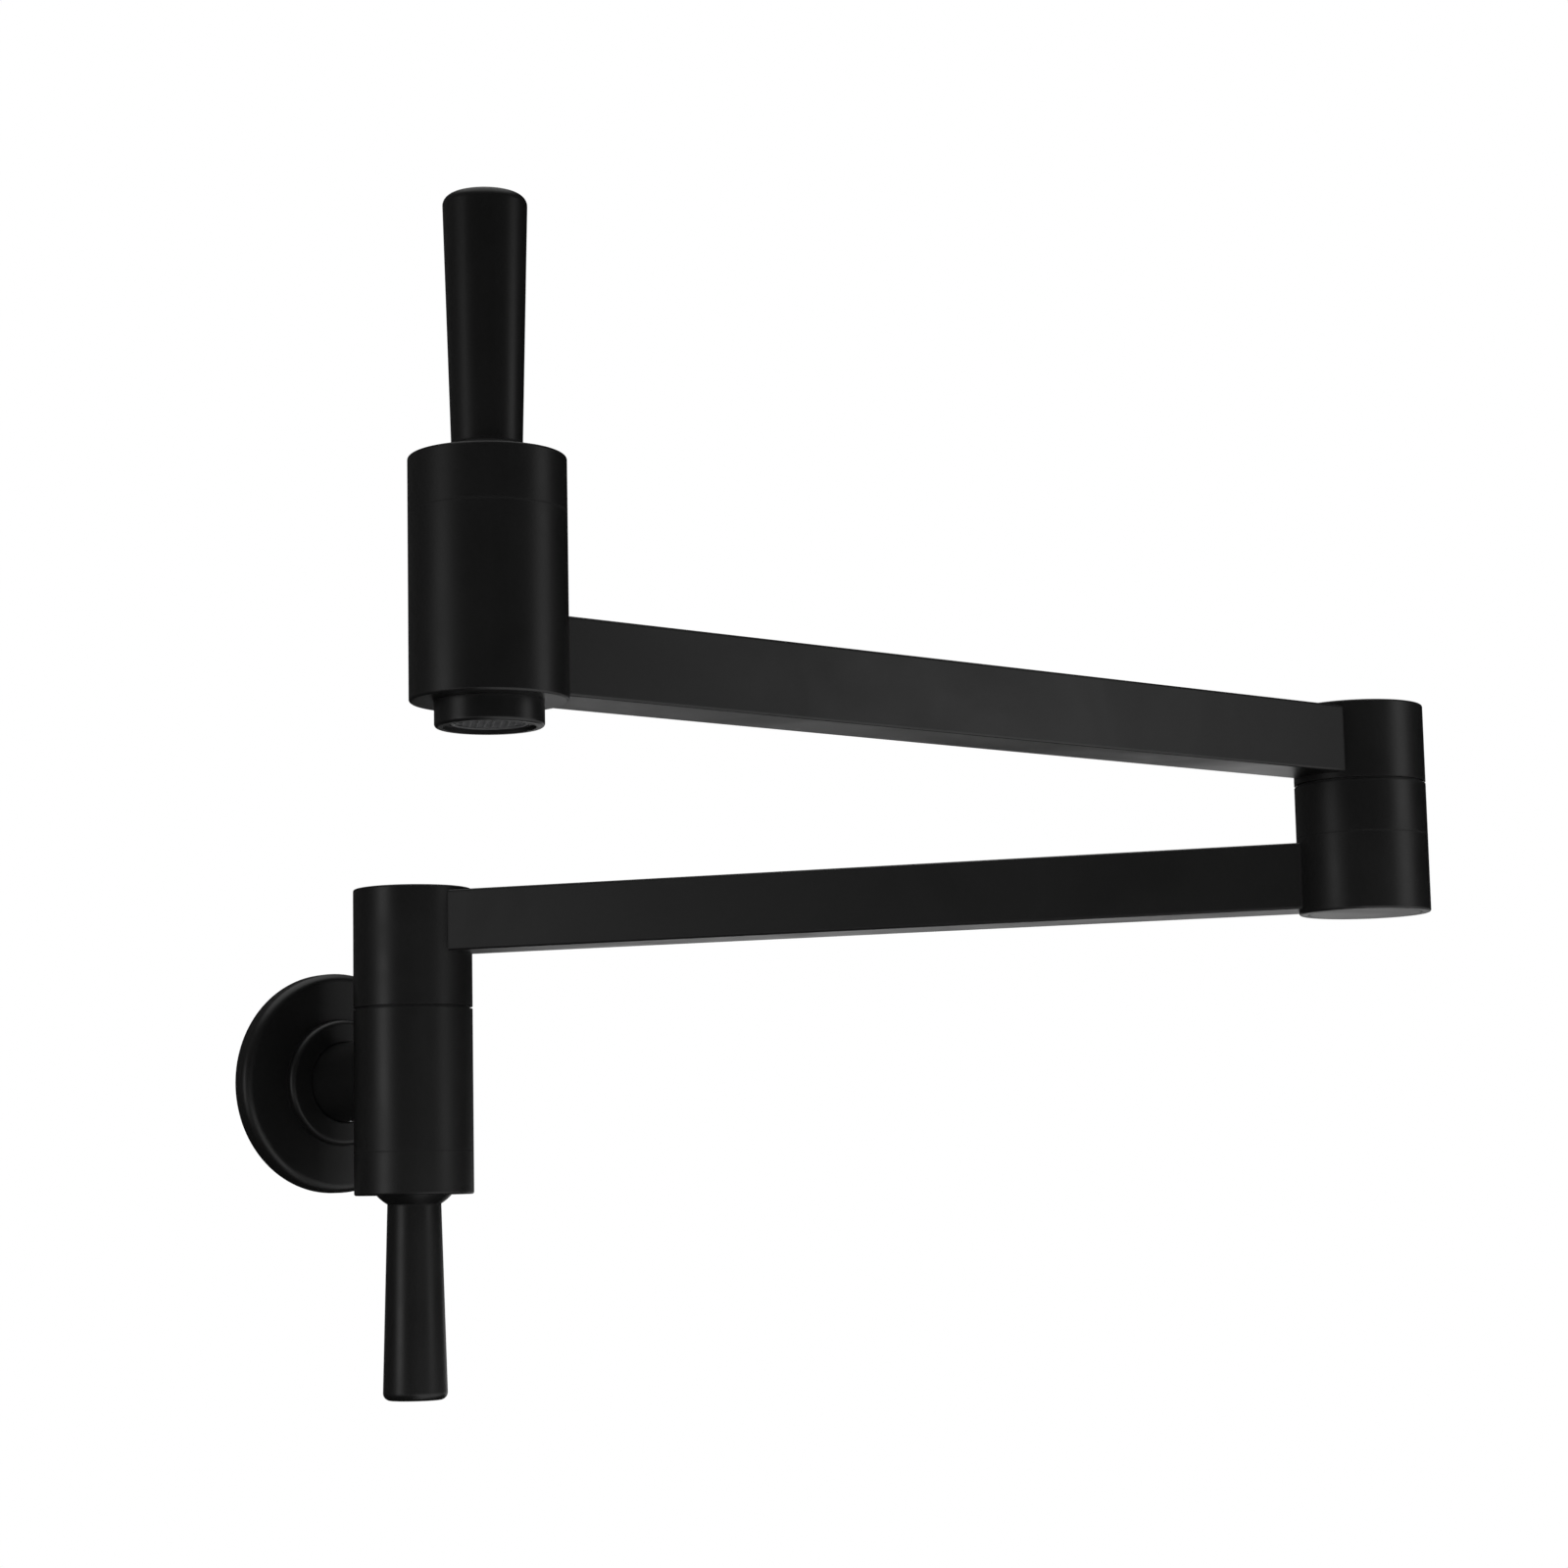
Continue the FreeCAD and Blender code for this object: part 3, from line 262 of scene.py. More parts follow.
# Wall fixing
# A turned brass nipple with a half-inch pipe thread and a rubber washer screws into the wall.
# The spigot brazed into it has two rubber rings, and a steel set screw locks the neck on it.
mm = 0.001


def effect(name, inputs, outputs):
    """An empty shader node group. An input with no value of its own is a place."""
    group = bpy.data.node_groups.new(name, "ShaderNodeTree")
    for socket, value in inputs.items():
        kind = "NodeSocketVector" if value is None else "NodeSocketFloat"
        made = group.interface.new_socket(socket, in_out="INPUT", socket_type=kind)
        if value is not None:
            made.default_value = value
    for socket in outputs:
        group.interface.new_socket(socket, in_out="OUTPUT", socket_type="NodeSocketFloat")
    add, link = node_maker(group)
    return group, add, link, add("NodeGroupInput").outputs, add("NodeGroupOutput").inputs


grain, add, link, given, result = effect("grain", {"Size": 0.6 * mm}, ("Height", "Speckle"))
where = add("ShaderNodeTexCoord").outputs["Object"]
per_metre = worked(add, link, "DIVIDE", 1.0, given["Size"])
fine = add("ShaderNodeTexNoise", Detail=2.0, Roughness=0.6)
peel = add("ShaderNodeTexVoronoi", feature="SMOOTH_F1")
for texture in (fine, peel):
    link(where, texture.inputs["Vector"])
    link(per_metre, texture.inputs["Scale"])
peel_share = 0.6
height = worked(
    add, link, "MULTIPLY_ADD", peel.outputs["Distance"], peel_share, fine.outputs["Fac"]
)
link(height, result["Height"])
link(fine.outputs["Fac"], result["Speckle"])

handling, add, link, given, result = effect("handling", {"Size": 30 * mm}, ("Haze",))
where = add("ShaderNodeTexCoord").outputs["Object"]
cloud = add("ShaderNodeTexNoise", Detail=4.0, Roughness=0.55, Distortion=0.6)
cloud_low, cloud_high = 0.35, 0.68  # the reach of nearly all of the noise
spread = add("ShaderNodeMapRange", From_Min=cloud_low, From_Max=cloud_high)
link(where, cloud.inputs["Vector"])
link(worked(add, link, "DIVIDE", 1.0, given["Size"]), cloud.inputs["Scale"])
link(cloud.outputs["Fac"], spread.inputs["Value"])
link(spread.outputs["Result"], result["Haze"])


def new_finish(name, **settings):
    """A material with a Principled shader, and the helpers to fill it."""
    material = bpy.data.materials.new(name)
    add, link = new_shader(material)
    shader = add("ShaderNodeBsdfPrincipled", **settings)
    out = add("ShaderNodeOutputMaterial")
    link(shader.outputs[0], out.inputs["Surface"])
    return material, add, link, shader.inputs


def ranged(add, link, factor, low, high):
    """A value that goes from low to high as the factor goes from 0 to 1."""
    spread = add("ShaderNodeMapRange", To_Min=low, To_Max=high)
    link(factor, spread.inputs["Value"])
    return spread.outputs["Result"]


def two_tones(add, link, factor, first, second):
    """The first tone where the factor is 0, the second where it is 1."""
    ramp = add("ShaderNodeValToRGB")
    ramp.color_ramp.elements[0].color = (*first, 1.0)
    ramp.color_ramp.elements[1].color = (*second, 1.0)
    link(factor, ramp.inputs["Fac"])
    return ramp.outputs["Color"]


def relief(add, link, height, normal, strength, depth):
    """Relief too fine for the mesh, from a height over the surface."""
    bump = add("ShaderNodeBump", Strength=strength, Distance=depth)
    link(height, bump.inputs["Height"])
    link(bump.outputs["Normal"], normal)


def dress(material, *names):
    """Give the named pieces a finish."""
    for name in names:
        for slot in nodes[name].material_slots:
            slot.material = material


turning, add, link, given, result = effect(
    "turning", {"Place": None, "Pitch": 0.12 * mm}, ("Height",)
)
beside_axis = add("ShaderNodeVectorMath", operation="MULTIPLY")
beside_axis.inputs[1].default_value = (1.0, 1.0, 0.0)
from_axis = add("ShaderNodeVectorMath", operation="LENGTH")
along_axis = add("ShaderNodeSeparateXYZ")
chatter = add("ShaderNodeTexNoise", Scale=700.0, Detail=1.0)
link(given["Place"], beside_axis.inputs[0])
link(beside_axis.outputs["Vector"], from_axis.inputs[0])
link(given["Place"], along_axis.inputs[0])
link(given["Place"], chatter.inputs["Vector"])
cut_length = worked(add, link, "ADD", from_axis.outputs["Value"], along_axis.outputs["Z"])
cuts = worked(add, link, "DIVIDE", cut_length, given["Pitch"])
full_turn = 2 * math.pi
chatter_share = 5.0
angle = worked(
    add, link, "MULTIPLY_ADD", chatter.outputs["Fac"], chatter_share,
    worked(add, link, "MULTIPLY", cuts, full_turn),
)
link(worked(add, link, "SINE", angle), result["Height"])


def lathe_turned(name, tones, roughness, cut, centre, turn=(0.0, 0.0, 0.0), metallic=1.0):
    """A turned finish: the tool's fine rings about an axis, and a slightly cloudy tone."""
    material, add, link, shader = new_finish(name, Metallic=metallic)
    where = add("ShaderNodeTexCoord").outputs["Object"]
    about_axis = add("ShaderNodeMapping", Location=centre, Rotation=turn)
    link(where, about_axis.inputs["Vector"])
    rings = add("ShaderNodeGroup", node_tree=turning, Pitch=cut)
    link(about_axis.outputs["Vector"], rings.inputs["Place"])
    cloudy = add("ShaderNodeGroup", node_tree=handling, Size=9 * mm).outputs
    link(two_tones(add, link, cloudy["Haze"], *tones), shader["Base Color"])
    dulled = 0.1
    link(ranged(add, link, cloudy["Haze"], roughness, roughness + dulled), shader["Roughness"])
    relief(add, link, rings.outputs["Height"], shader["Normal"], strength=0.25, depth=0.006 * mm)
    return material


def moulded(name, tones, roughness, size, depth):
    """Moulded plastic or rubber: the mould's fine grain and a slightly uneven gloss."""
    material, add, link, shader = new_finish(name)
    skin = add("ShaderNodeGroup", node_tree=grain, Size=size).outputs
    cloudy = add("ShaderNodeGroup", node_tree=handling, Size=6 * mm).outputs
    link(two_tones(add, link, cloudy["Haze"], *tones), shader["Base Color"])
    dulled = 0.12
    link(ranged(add, link, cloudy["Haze"], roughness, roughness + dulled), shader["Roughness"])
    relief(add, link, skin["Height"], shader["Normal"], strength=0.3, depth=depth)
    return material


def turned_shape(name, rings, around, place, material):
    """A closed mesh of revolution. Each ring is a radius, or a rule for it at an angle, and a
    height; the last ring joins the first, faces outwards."""
    points = []
    for radius, height in rings:
        for i in range(around):
            turn = 2 * math.pi * i / around
            reach = radius(turn) if callable(radius) else radius
            points.append((reach * math.cos(turn), reach * math.sin(turn), height))
    faces = []
    for j in range(len(rings)):
        ring, above = j * around, (j + 1) % len(rings) * around
        for i in range(around):
            after = (i + 1) % around
            faces.append((ring + i, ring + after, above + after, above + i))
    mesh = bpy.data.meshes.new(name)
    mesh.from_pydata(points, [], faces)
    mesh.transform(place)
    mesh.materials.append(material)
    mesh.update()
    piece = bpy.data.objects.new(name, mesh)
    scene.collection.objects.link(piece)
    return piece


brass_tones = (0.55, 0.36, 0.14), (0.66, 0.47, 0.2)
steel_tones = (0.42, 0.42, 0.43), (0.55, 0.55, 0.56)
rubber_tones = (0.012, 0.012, 0.012), (0.024, 0.024, 0.023)
at_inlet = (0.0, 0.0, 0.0)
into_wall = math.radians(90)
wall_brass = lathe_turned(
    "wall_brass", brass_tones, roughness=0.24, cut=0.14 * mm, centre=at_inlet,
    turn=(into_wall, 0.0, 0.0),
)
ground_steel = lathe_turned(
    "ground_steel", steel_tones, roughness=0.28, cut=0.1 * mm, centre=at_inlet
)
seal_rubber = moulded(
    "seal_rubber", rubber_tones, roughness=0.6, size=0.35 * mm, depth=0.03 * mm
)
dress(wall_brass, "inlet_spigot")
dress(ground_steel, "neck_set_screw")
dress(seal_rubber, "inlet_o_rings", "nipple_washer")

# The nipple's own sizes, along its axis from the wall's plane, into the wall
across_flats = 24.0 * mm
flats_chamfer_start = 11.6 * mm
flats_chamfer_slope = 2.5
hexagon_low, hexagon_high = -4.5 * mm, -1.5 * mm
thread_root, thread_crest = 9.32 * mm, 10.48 * mm
thread_pitch = 1.814 * mm
thread_turns = 8.2
nipple_bore, nipple_socket = 6.0 * mm, 8.0 * mm
socket_floor = -1.9 * mm
nipple_end = 16.0 * mm
small_chamfer = 0.4 * mm
chamfer_step, chamfer_steps = 0.2 * mm, 6
fine_round = 96  # sides of a turned shape


def hexagon(limit):
    """The hexagon's radius at an angle, cut back to a limit by the chamfer's cone."""
    sixth = math.pi / 3

    def radius(turn):
        off_flat = (turn + sixth / 2) % sixth - sixth / 2
        return min(across_flats / 2 / math.cos(off_flat), limit)

    return radius


chamfer_rings = [
    (hexagon(flats_chamfer_start + flats_chamfer_slope * step), step)
    for step in (chamfer_step * i for i in range(chamfer_steps))
]
nipple_place = Matrix.Rotation(-into_wall, 4, "X")
nipple = turned_shape(
    "threaded_nipple",
    [
        (nipple_socket, socket_floor),
        (nipple_socket, hexagon_low + small_chamfer),
        (nipple_socket + small_chamfer, hexagon_low),
        *((radius, hexagon_low + step) for radius, step in chamfer_rings),
        *((radius, hexagon_high - step) for radius, step in reversed(chamfer_rings)),
        (thread_root + small_chamfer, hexagon_high),
        (thread_root + small_chamfer, 0.0),
        (thread_root, small_chamfer),
        (thread_root, nipple_end - 2 * small_chamfer),
        (thread_root - 2 * small_chamfer, nipple_end),
        (nipple_bore + small_chamfer, nipple_end),
        (nipple_bore, nipple_end - small_chamfer),
        (nipple_bore, socket_floor),
    ],
    fine_round, nipple_place, wall_brass,
)
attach(nipple, "wall_base")
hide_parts("inlet_nipple")


def geometry_tree(name, sizes):
    """An empty Geometry Nodes tree with named sizes, and a way to end it in real mesh."""
    tree = bpy.data.node_groups.new(name, "GeometryNodeTree")
    tree.is_modifier = True
    for size in sizes:
        tree.interface.new_socket(size, in_out="INPUT", socket_type="NodeSocketFloat")
    tree.interface.new_socket("Material", in_out="INPUT", socket_type="NodeSocketMaterial")
    tree.interface.new_socket("Mesh", in_out="OUTPUT", socket_type="NodeSocketGeometry")
    add, link = node_maker(tree)
    given = add("NodeGroupInput").outputs

    def end_with(geometry):
        real = add("GeometryNodeRealizeInstances")
        finished = add("GeometryNodeSetMaterial")
        out = add("NodeGroupOutput")
        link(geometry, real.inputs["Geometry"])
        link(real.outputs["Geometry"], finished.inputs["Geometry"])
        link(given["Material"], finished.inputs["Material"])
        link(finished.outputs["Geometry"], out.inputs["Mesh"])

    return tree, add, link, given, end_with


def grown(name, tree, place, material, sizes):
    """The plain mesh that a tree makes with its sizes, in its place."""
    piece = bpy.data.objects.new(name, bpy.data.meshes.new(name))
    scene.collection.objects.link(piece)
    modifier = piece.modifiers.new("tree", "NODES")
    modifier.node_group = tree
    given = {"Material": material, **sizes}
    for socket in tree.interface.items_tree:
        if socket.in_out == "INPUT":
            modifier[socket.identifier] = given[socket.name]
    evaluated = piece.evaluated_get(bpy.context.evaluated_depsgraph_get())
    mesh = bpy.data.meshes.new_from_object(evaluated)
    piece.modifiers.remove(modifier)
    mesh.transform(place)
    mesh.materials.clear()
    mesh.materials.append(material)
    mesh.polygons.foreach_set("material_index", [0] * len(mesh.polygons))
    piece.data = mesh
    return piece


thread_tree, add, link, given, end_with = geometry_tree(
    "pipe_thread", ("Root Radius", "Depth", "Pitch", "Turns")
)
run_out_share = 0.04  # of the ridge, at each end, where it fades away
run_out_size = 0.1  # of the full ridge, at its very end
crest_share, foot_share = 0.14, 0.98  # of the pitch
buried = 0.3 * mm
line = add("GeometryNodeCurveSpiral", Resolution=40, Reverse=True)
link(given["Turns"], line.inputs["Rotations"])
link(given["Root Radius"], line.inputs["Start Radius"])
link(given["Root Radius"], line.inputs["End Radius"])
link(worked(add, link, "MULTIPLY", given["Turns"], given["Pitch"]), line.inputs["Height"])
upright = add("GeometryNodeSetCurveNormal", mode="Z_UP")
link(line.outputs["Curve"], upright.inputs["Curve"])
ridge_height = worked(add, link, "ADD", given["Depth"], buried)
ridge = add("GeometryNodeCurvePrimitiveQuadrilateral", mode="TRAPEZOID", Offset=0.0)
outwards = math.radians(-90)
link(worked(add, link, "MULTIPLY", given["Pitch"], crest_share), ridge.inputs["Top Width"])
link(worked(add, link, "MULTIPLY", given["Pitch"], foot_share), ridge.inputs["Bottom Width"])
link(ridge_height, ridge.inputs["Height"])
lift = add("ShaderNodeCombineXYZ")
link(worked(add, link, "MULTIPLY_ADD", ridge_height, 0.5, -buried), lift.inputs["X"])
lifted = add("GeometryNodeTransform", Rotation=(0.0, 0.0, outwards))
link(ridge.outputs["Curve"], lifted.inputs["Geometry"])
link(lift.outputs["Vector"], lifted.inputs["Translation"])
along = add("GeometryNodeSplineParameter").outputs["Factor"]
to_end = worked(add, link, "MINIMUM", along, worked(add, link, "SUBTRACT", 1.0, along))
fade = add("ShaderNodeMapRange", From_Max=run_out_share, To_Min=run_out_size)
link(to_end, fade.inputs["Value"])
swept = add("GeometryNodeCurveToMesh", Fill_Caps=True)
link(upright.outputs["Curve"], swept.inputs["Curve"])
link(lifted.outputs["Geometry"], swept.inputs["Profile Curve"])
link(fade.outputs["Result"], swept.inputs["Scale"])
end_with(swept.outputs["Mesh"])

thread = grown(
    "inlet_thread", thread_tree, nipple_place, wall_brass,
    {
        "Root Radius": thread_root, "Depth": thread_crest - thread_root,
        "Pitch": thread_pitch, "Turns": thread_turns,
    },
)
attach(thread, "wall_base")


# Wall flange and lower valve body
# The flange, a turned brass cover, is held on the neck by a rubber ring. The neck is brazed to
# the turned valve body, and a bonnet screws into its end. All have a satin black powder coat.
edges, add, link, given, result = effect("edges", {"Width": 0.6 * mm}, ("Mask",))
eased = add("ShaderNodeBevel", samples=4)
surface = add("ShaderNodeNewGeometry")
alike = add("ShaderNodeVectorMath", operation="DOT_PRODUCT")
still_flat, full_edge = 0.999, 0.86  # how alike the real and the eased normal are
turned_away = add("ShaderNodeMapRange", From_Min=still_flat, From_Max=full_edge)
link(given["Width"], eased.inputs["Radius"])
link(eased.outputs["Normal"], alike.inputs[0])
link(surface.outputs["Normal"], alike.inputs[1])
link(alike.outputs["Value"], turned_away.inputs["Value"])
link(turned_away.outputs["Result"], result["Mask"])


def laid_over(add, link, mask, below, above):
    """The colour above laid over the one below where the mask is 1."""
    mix = add("ShaderNodeMix", data_type="RGBA")
    link(mask, mix.inputs["Factor"])
    link(below, mix.inputs["A"])
    mix.inputs["B"].default_value = (*above, 1.0)
    return mix.outputs["Result"]


def coated(name, roughness, edge_width):
    """Satin black powder coat: a fine even grain, a sheen made uneven by wiping, duller edges."""
    material, add, link, shader = new_finish(name)
    powder = add("ShaderNodeGroup", node_tree=grain, Size=0.7 * mm).outputs
    wiped = add("ShaderNodeGroup", node_tree=handling, Size=28 * mm).outputs
    rim = add("ShaderNodeGroup", node_tree=edges, Width=edge_width).outputs
    dark, light, rim_tone = ((tone, tone, tone) for tone in (0.004, 0.0068, 0.006))
    colour = two_tones(add, link, powder["Speckle"], dark, light)
    link(laid_over(add, link, rim["Mask"], colour, rim_tone), shader["Base Color"])
    wiped_gloss, hazy_gloss, edge_dullness = -0.03, 0.05, 0.35
    sheen = ranged(add, link, wiped["Haze"], roughness + wiped_gloss, roughness + hazy_gloss)
    link(worked(add, link, "MULTIPLY_ADD", rim["Mask"], edge_dullness, sheen), shader["Roughness"])
    relief(add, link, powder["Height"], shader["Normal"], strength=0.12, depth=0.04 * mm)
    return material


black_coat = coated("black_coat", roughness=0.4, edge_width=0.6 * mm)
dress(
    black_coat, "wall_flange", "base_inlet_neck", "base_valve_body", "base_bonnet", "base_dome"
)
dress(seal_rubber, "flange_gasket", "flange_grip_ring")


# Cartridges
# In each valve body a brass ring nut holds down a joystick cartridge: a pale moulded housing and
# disc carrier, two lapped ceramic discs, rubber port seals, and a steel pin and spindle.
pale_tones = (0.66, 0.66, 0.62), (0.76, 0.76, 0.73)
pale_moulding = moulded(
    "pale_moulding", pale_tones, roughness=0.38, size=0.5 * mm, depth=0.02 * mm
)

ceramic_tones = (0.78, 0.76, 0.71), (0.86, 0.84, 0.8)
lap_headings = 0.4, 1.7
long_and_fine = (400.0, 9000.0, 400.0)
lapped_ceramic, add, link, shader = new_finish("lapped_ceramic")
where = add("ShaderNodeTexCoord").outputs["Object"]
strokes = []
for heading in lap_headings:
    stretched = add("ShaderNodeMapping", Rotation=(0.0, 0.0, heading), Scale=long_and_fine)
    stroke = add("ShaderNodeTexNoise", Scale=1.0, Detail=1.0)
    link(where, stretched.inputs["Vector"])
    link(stretched.outputs["Vector"], stroke.inputs["Vector"])
    strokes.append(stroke.outputs["Fac"])
scratches = worked(add, link, "MULTIPLY", *strokes)
fired = add("ShaderNodeGroup", node_tree=handling, Size=5 * mm).outputs
link(two_tones(add, link, fired["Haze"], *ceramic_tones), shader["Base Color"])
link(ranged(add, link, scratches, low=0.1, high=0.32), shader["Roughness"])
relief(add, link, scratches, shader["Normal"], strength=0.2, depth=0.004 * mm)


def centre_of(name):
    low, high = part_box(name)
    return (low + high) / 2


def on_axis(name):
    """What a finish adds to a place to measure it from a node's upright axis."""
    middle = centre_of(name)
    return (-middle.x, -middle.y, 0.0)


for valve in ("base", "outlet"):
    dress(
        pale_moulding,
        valve + "_cartridge_housing", valve + "_cartridge_floor", valve + "_disc_carrier",
    )
    dress(lapped_ceramic, valve + "_fixed_disc", valve + "_moving_disc")
    dress(seal_rubber, valve + "_port_seals")
    dress(ground_steel, valve + "_pivot_pin", valve + "_spindle")
    nut = valve + "_cartridge_nut"
    nut_brass = lathe_turned(
        valve + "_nut_brass", brass_tones, roughness=0.26, cut=0.16 * mm, centre=on_axis(nut)
    )
    dress(nut_brass, nut)


# Swivels
# Each arm turns on a hollow brass stem with two rubber rings. Black acetal rings slide in the
# seams, and a spring steel circlip under a washer keeps the stem from lifting out.
acetal_tones = (0.004, 0.004, 0.004), (0.008, 0.008, 0.008)
for swivel in ("base", "elbow"):
    stem = swivel + "_pivot_stem"
    stem_brass = lathe_turned(
        swivel + "_stem_brass", brass_tones, roughness=0.22, cut=0.12 * mm, centre=on_axis(stem)
    )
    acetal = lathe_turned(
        swivel + "_acetal", acetal_tones, roughness=0.5, cut=0.2 * mm, centre=on_axis(stem),
        metallic=0.0,
    )
    dress(stem_brass, stem)
    dress(acetal, swivel + "_swivel_washer", swivel + "_thrust_washer")
    dress(seal_rubber, swivel + "_stem_o_rings")
    dress(ground_steel, swivel + "_circlip")


# Arms
# Two square brass tubes of equal length, brazed to turned knuckles that cap the swivels. A spacer
# at the elbow lifts the second clear of the first. They have the same black coat.
dress(
    black_coat,
    "base_knuckle", "base_knuckle_cap", "arm_1_bar", "elbow_lower_knuckle", "elbow_bottom_cap",
    "elbow_spacer", "elbow_upper_knuckle", "elbow_top_cap", "arm_2_bar",
)


# Outlet valve body
# A second turned body at the arm's free end, as the lower one but with its bonnet on top, where
# the lever's dome turns in its mouth. It has the same black coat.
dress(black_coat, "outlet_valve_body", "outlet_bonnet", "outlet_dome")


# Levers
# Each is one tapered turning screwed on to its valve's spindle, in the same coat. Fingers keep it
# a little smoother than the bodies.
lever_coat = coated("lever_coat", roughness=0.38, edge_width=0.8 * mm)
dress(lever_coat, "base_lever", "outlet_lever")


# Aerator
# The black ring under the outlet holds a moulded grey cup whose floor is a honeycomb that
# straightens the stream, with a woven steel screen above it and a rubber washer on top.
grey_tones = (0.05, 0.051, 0.053), (0.085, 0.086, 0.088)
grey_moulding = moulded(
    "grey_moulding", grey_tones, roughness=0.42, size=0.4 * mm, depth=0.02 * mm
)
dress(black_coat, "aerator_shell")
dress(seal_rubber, "aerator_washer")

insert_middle = centre_of("aerator_shell")
insert_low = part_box("aerator_insert")[0].z
insert_place = Matrix.Translation((insert_middle.x, insert_middle.y, insert_low))
nose_radius, nose_height = 8.6 * mm, 1.0 * mm
cup_radius, cup_height = 9.65 * mm, 8.5 * mm
mouth_radius, comb_depth = 7.7 * mm, 2.0 * mm
cup_bore = 8.65 * mm
soft_edge = 0.2 * mm
cup = turned_shape(
    "aerator_cup",
    [
        (mouth_radius, soft_edge),
        (mouth_radius + soft_edge, 0.0),
        (nose_radius - soft_edge, 0.0),
        (nose_radius, soft_edge),
        (nose_radius, nose_height),
        (cup_radius - soft_edge, nose_height),
        (cup_radius, nose_height + soft_edge),
        (cup_radius, cup_height - soft_edge),
        (cup_radius - soft_edge, cup_height),
        (cup_bore + soft_edge, cup_height),
        (cup_bore, cup_height - soft_edge),
        (cup_bore, comb_depth),
        (mouth_radius, comb_depth),
    ],
    fine_round, insert_place, grey_moulding,
)
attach(cup, "second_arm")
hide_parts("aerator_insert")

comb_tree, add, link, given, end_with = geometry_tree(
    "honeycomb", ("Pitch", "Wall", "Depth", "Reach")
)
comb_reach = 5  # cells each way from the middle one
half_corner = math.radians(30)  # between a cell's flat and its corner
cells_a_row = 2 * comb_reach + 1
index = add("GeometryNodeInputIndex").outputs["Index"]
row = worked(add, link, "FLOOR", worked(add, link, "DIVIDE", index, cells_a_row))
column = worked(add, link, "SUBTRACT", index, worked(add, link, "MULTIPLY", row, cells_a_row))
row_from_middle = worked(add, link, "SUBTRACT", row, comb_reach)
column_from_middle = worked(add, link, "SUBTRACT", column, comb_reach)
row_shift = worked(add, link, "MULTIPLY_ADD", row_from_middle, 0.5, column_from_middle)
row_step = worked(add, link, "MULTIPLY", given["Pitch"], math.sqrt(3) / 2)
cell_place = add("ShaderNodeCombineXYZ")
link(worked(add, link, "MULTIPLY", row_shift, given["Pitch"]), cell_place.inputs["X"])
link(worked(add, link, "MULTIPLY", row_from_middle, row_step), cell_place.inputs["Y"])
cells = add("GeometryNodePoints", Count=cells_a_row ** 2)
link(cell_place.outputs["Vector"], cells.inputs["Position"])
cell_at = add("GeometryNodeInputPosition").outputs["Position"]
cell_reach = add("ShaderNodeVectorMath", operation="LENGTH")
link(cell_at, cell_reach.inputs[0])
beyond = worked(add, link, "GREATER_THAN", cell_reach.outputs["Value"], given["Reach"])
kept = add("GeometryNodeDeleteGeometry")
link(cells.outputs["Points"], kept.inputs["Geometry"])
link(beyond, kept.inputs["Selection"])
slant = 1 / math.cos(half_corner)
wall_to_wall = worked(add, link, "SUBTRACT", given["Pitch"], given["Wall"])
wall_middle = worked(add, link, "MULTIPLY", wall_to_wall, slant / 2)
cell = add("GeometryNodeCurvePrimitiveCircle", Resolution=6)
link(wall_middle, cell.inputs[len(cell.inputs) - 1])
wall = add("GeometryNodeCurvePrimitiveQuadrilateral")
link(worked(add, link, "MULTIPLY", given["Wall"], slant), wall.inputs["Width"])
link(given["Depth"], wall.inputs["Height"])
cell_wall = add("GeometryNodeCurveToMesh", Fill_Caps=True)
link(cell.outputs["Curve"], cell_wall.inputs["Curve"])
link(wall.outputs["Curve"], cell_wall.inputs["Profile Curve"])
turned_cell = add("GeometryNodeTransform", Rotation=(0.0, 0.0, half_corner))
link(cell_wall.outputs["Mesh"], turned_cell.inputs["Geometry"])
comb = add("GeometryNodeInstanceOnPoints")
link(kept.outputs["Geometry"], comb.inputs["Points"])
link(turned_cell.outputs["Geometry"], comb.inputs["Instance"])
end_with(comb.outputs["Instances"])

comb_low = 0.25 * mm
comb_margin = 0.2 * mm
honeycomb = grown(
    "aerator_honeycomb", comb_tree,
    insert_place @ Matrix.Translation((0.0, 0.0, (comb_low + comb_depth) / 2)), grey_moulding,
    {
        "Pitch": 1.9 * mm, "Wall": 0.2 * mm, "Depth": comb_depth - comb_low,
        "Reach": mouth_radius - comb_margin,
    },
)
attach(honeycomb, "second_arm")

screen_tree, add, link, given, end_with = geometry_tree(
    "woven_screen", ("Pitch", "Wire", "Radius")
)
wires_each_way = 8  # either side of the middle one
wire_count = 2 * wires_each_way + 1
wire_steps = 64
index = add("GeometryNodeInputIndex").outputs["Index"]
offset = worked(
    add, link, "MULTIPLY", worked(add, link, "SUBTRACT", index, wires_each_way), given["Pitch"]
)
wire_place = add("ShaderNodeCombineXYZ")
link(offset, wire_place.inputs["Y"])
lines = add("GeometryNodePoints", Count=wire_count)
link(wire_place.outputs["Vector"], lines.inputs["Position"])
radius_squared = worked(add, link, "MULTIPLY", given["Radius"], given["Radius"])
offset_squared = worked(add, link, "MULTIPLY", offset, offset)
chord_squared = worked(add, link, "SUBTRACT", radius_squared, offset_squared)
half_chord = worked(add, link, "SQRT", chord_squared)
wire_scale = add("ShaderNodeCombineXYZ", Y=1.0, Z=1.0)
link(half_chord, wire_scale.inputs["X"])
wire_line = add(
    "GeometryNodeMeshLine",
    Count=wire_steps + 1, Start_Location=(-1.0, 0.0, 0.0), Offset=(2 / wire_steps, 0.0, 0.0),
)
one_wire = add("GeometryNodeInstanceOnPoints")
link(lines.outputs["Points"], one_wire.inputs["Points"])
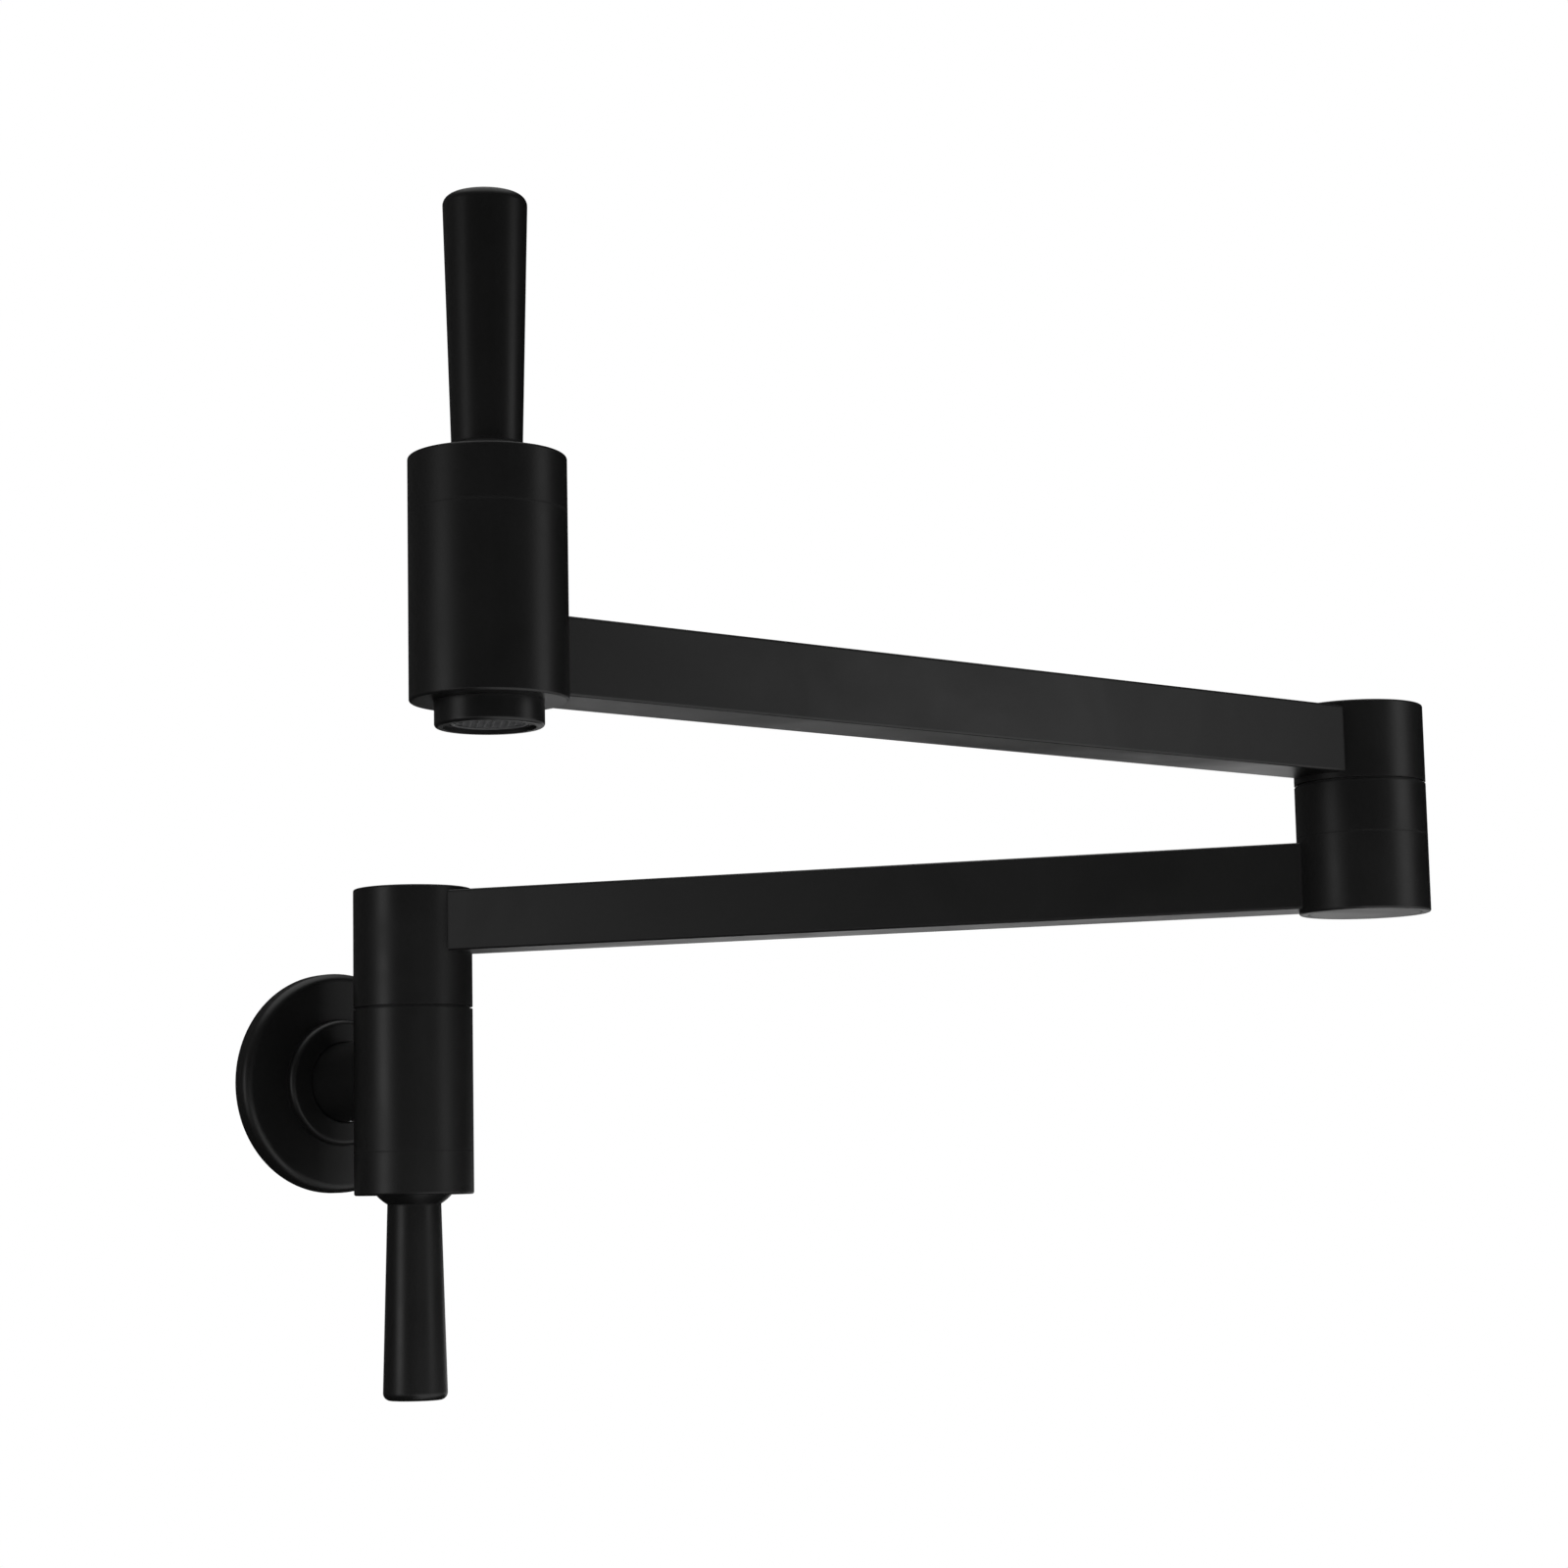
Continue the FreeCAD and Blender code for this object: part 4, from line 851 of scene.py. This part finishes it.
link(wire_line.outputs["Mesh"], one_wire.inputs["Instance"])
link(wire_scale.outputs["Vector"], one_wire.inputs["Scale"])
flat_wires = add("GeometryNodeRealizeInstances")
link(one_wire.outputs["Instances"], flat_wires.inputs["Geometry"])
point_at = add("ShaderNodeSeparateXYZ")
link(add("GeometryNodeInputPosition").outputs["Position"], point_at.inputs[0])
across = worked(add, link, "ADD", point_at.outputs["X"], point_at.outputs["Y"])
sum_of_steps = worked(add, link, "DIVIDE", across, given["Pitch"])
wave = worked(add, link, "COSINE", worked(add, link, "MULTIPLY", sum_of_steps, math.pi))
wire_half = worked(add, link, "MULTIPLY", given["Wire"], 0.5)
rise = add("ShaderNodeCombineXYZ")
link(worked(add, link, "MULTIPLY", wave, wire_half), rise.inputs["Z"])
woven = add("GeometryNodeSetPosition")
link(flat_wires.outputs["Geometry"], woven.inputs["Geometry"])
link(rise.outputs["Vector"], woven.inputs["Offset"])
wire_curves = add("GeometryNodeMeshToCurve")
link(woven.outputs["Geometry"], wire_curves.inputs["Mesh"])
section = add("GeometryNodeCurvePrimitiveCircle", Resolution=6)
link(wire_half, section.inputs[len(section.inputs) - 1])
wires = add("GeometryNodeCurveToMesh", Fill_Caps=True)
link(wire_curves.outputs["Curve"], wires.inputs["Curve"])
link(section.outputs["Curve"], wires.inputs["Profile Curve"])
crossing = add("GeometryNodeTransform", Rotation=(math.pi, 0.0, math.pi / 2))
link(wires.outputs["Mesh"], crossing.inputs["Geometry"])
weave = add("GeometryNodeJoinGeometry")
link(wires.outputs["Mesh"], weave.inputs["Geometry"])
link(crossing.outputs["Geometry"], weave.inputs["Geometry"])
end_with(weave.outputs["Geometry"])

screen_gap = 0.4 * mm
screen_bite = 0.05 * mm  # into the cup's wall
screen = grown(
    "aerator_screen", screen_tree,
    insert_place @ Matrix.Translation((0.0, 0.0, comb_depth + screen_gap)), ground_steel,
    {"Pitch": 1.0 * mm, "Wire": 0.24 * mm, "Radius": cup_bore + screen_bite},
)
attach(screen, "second_arm")
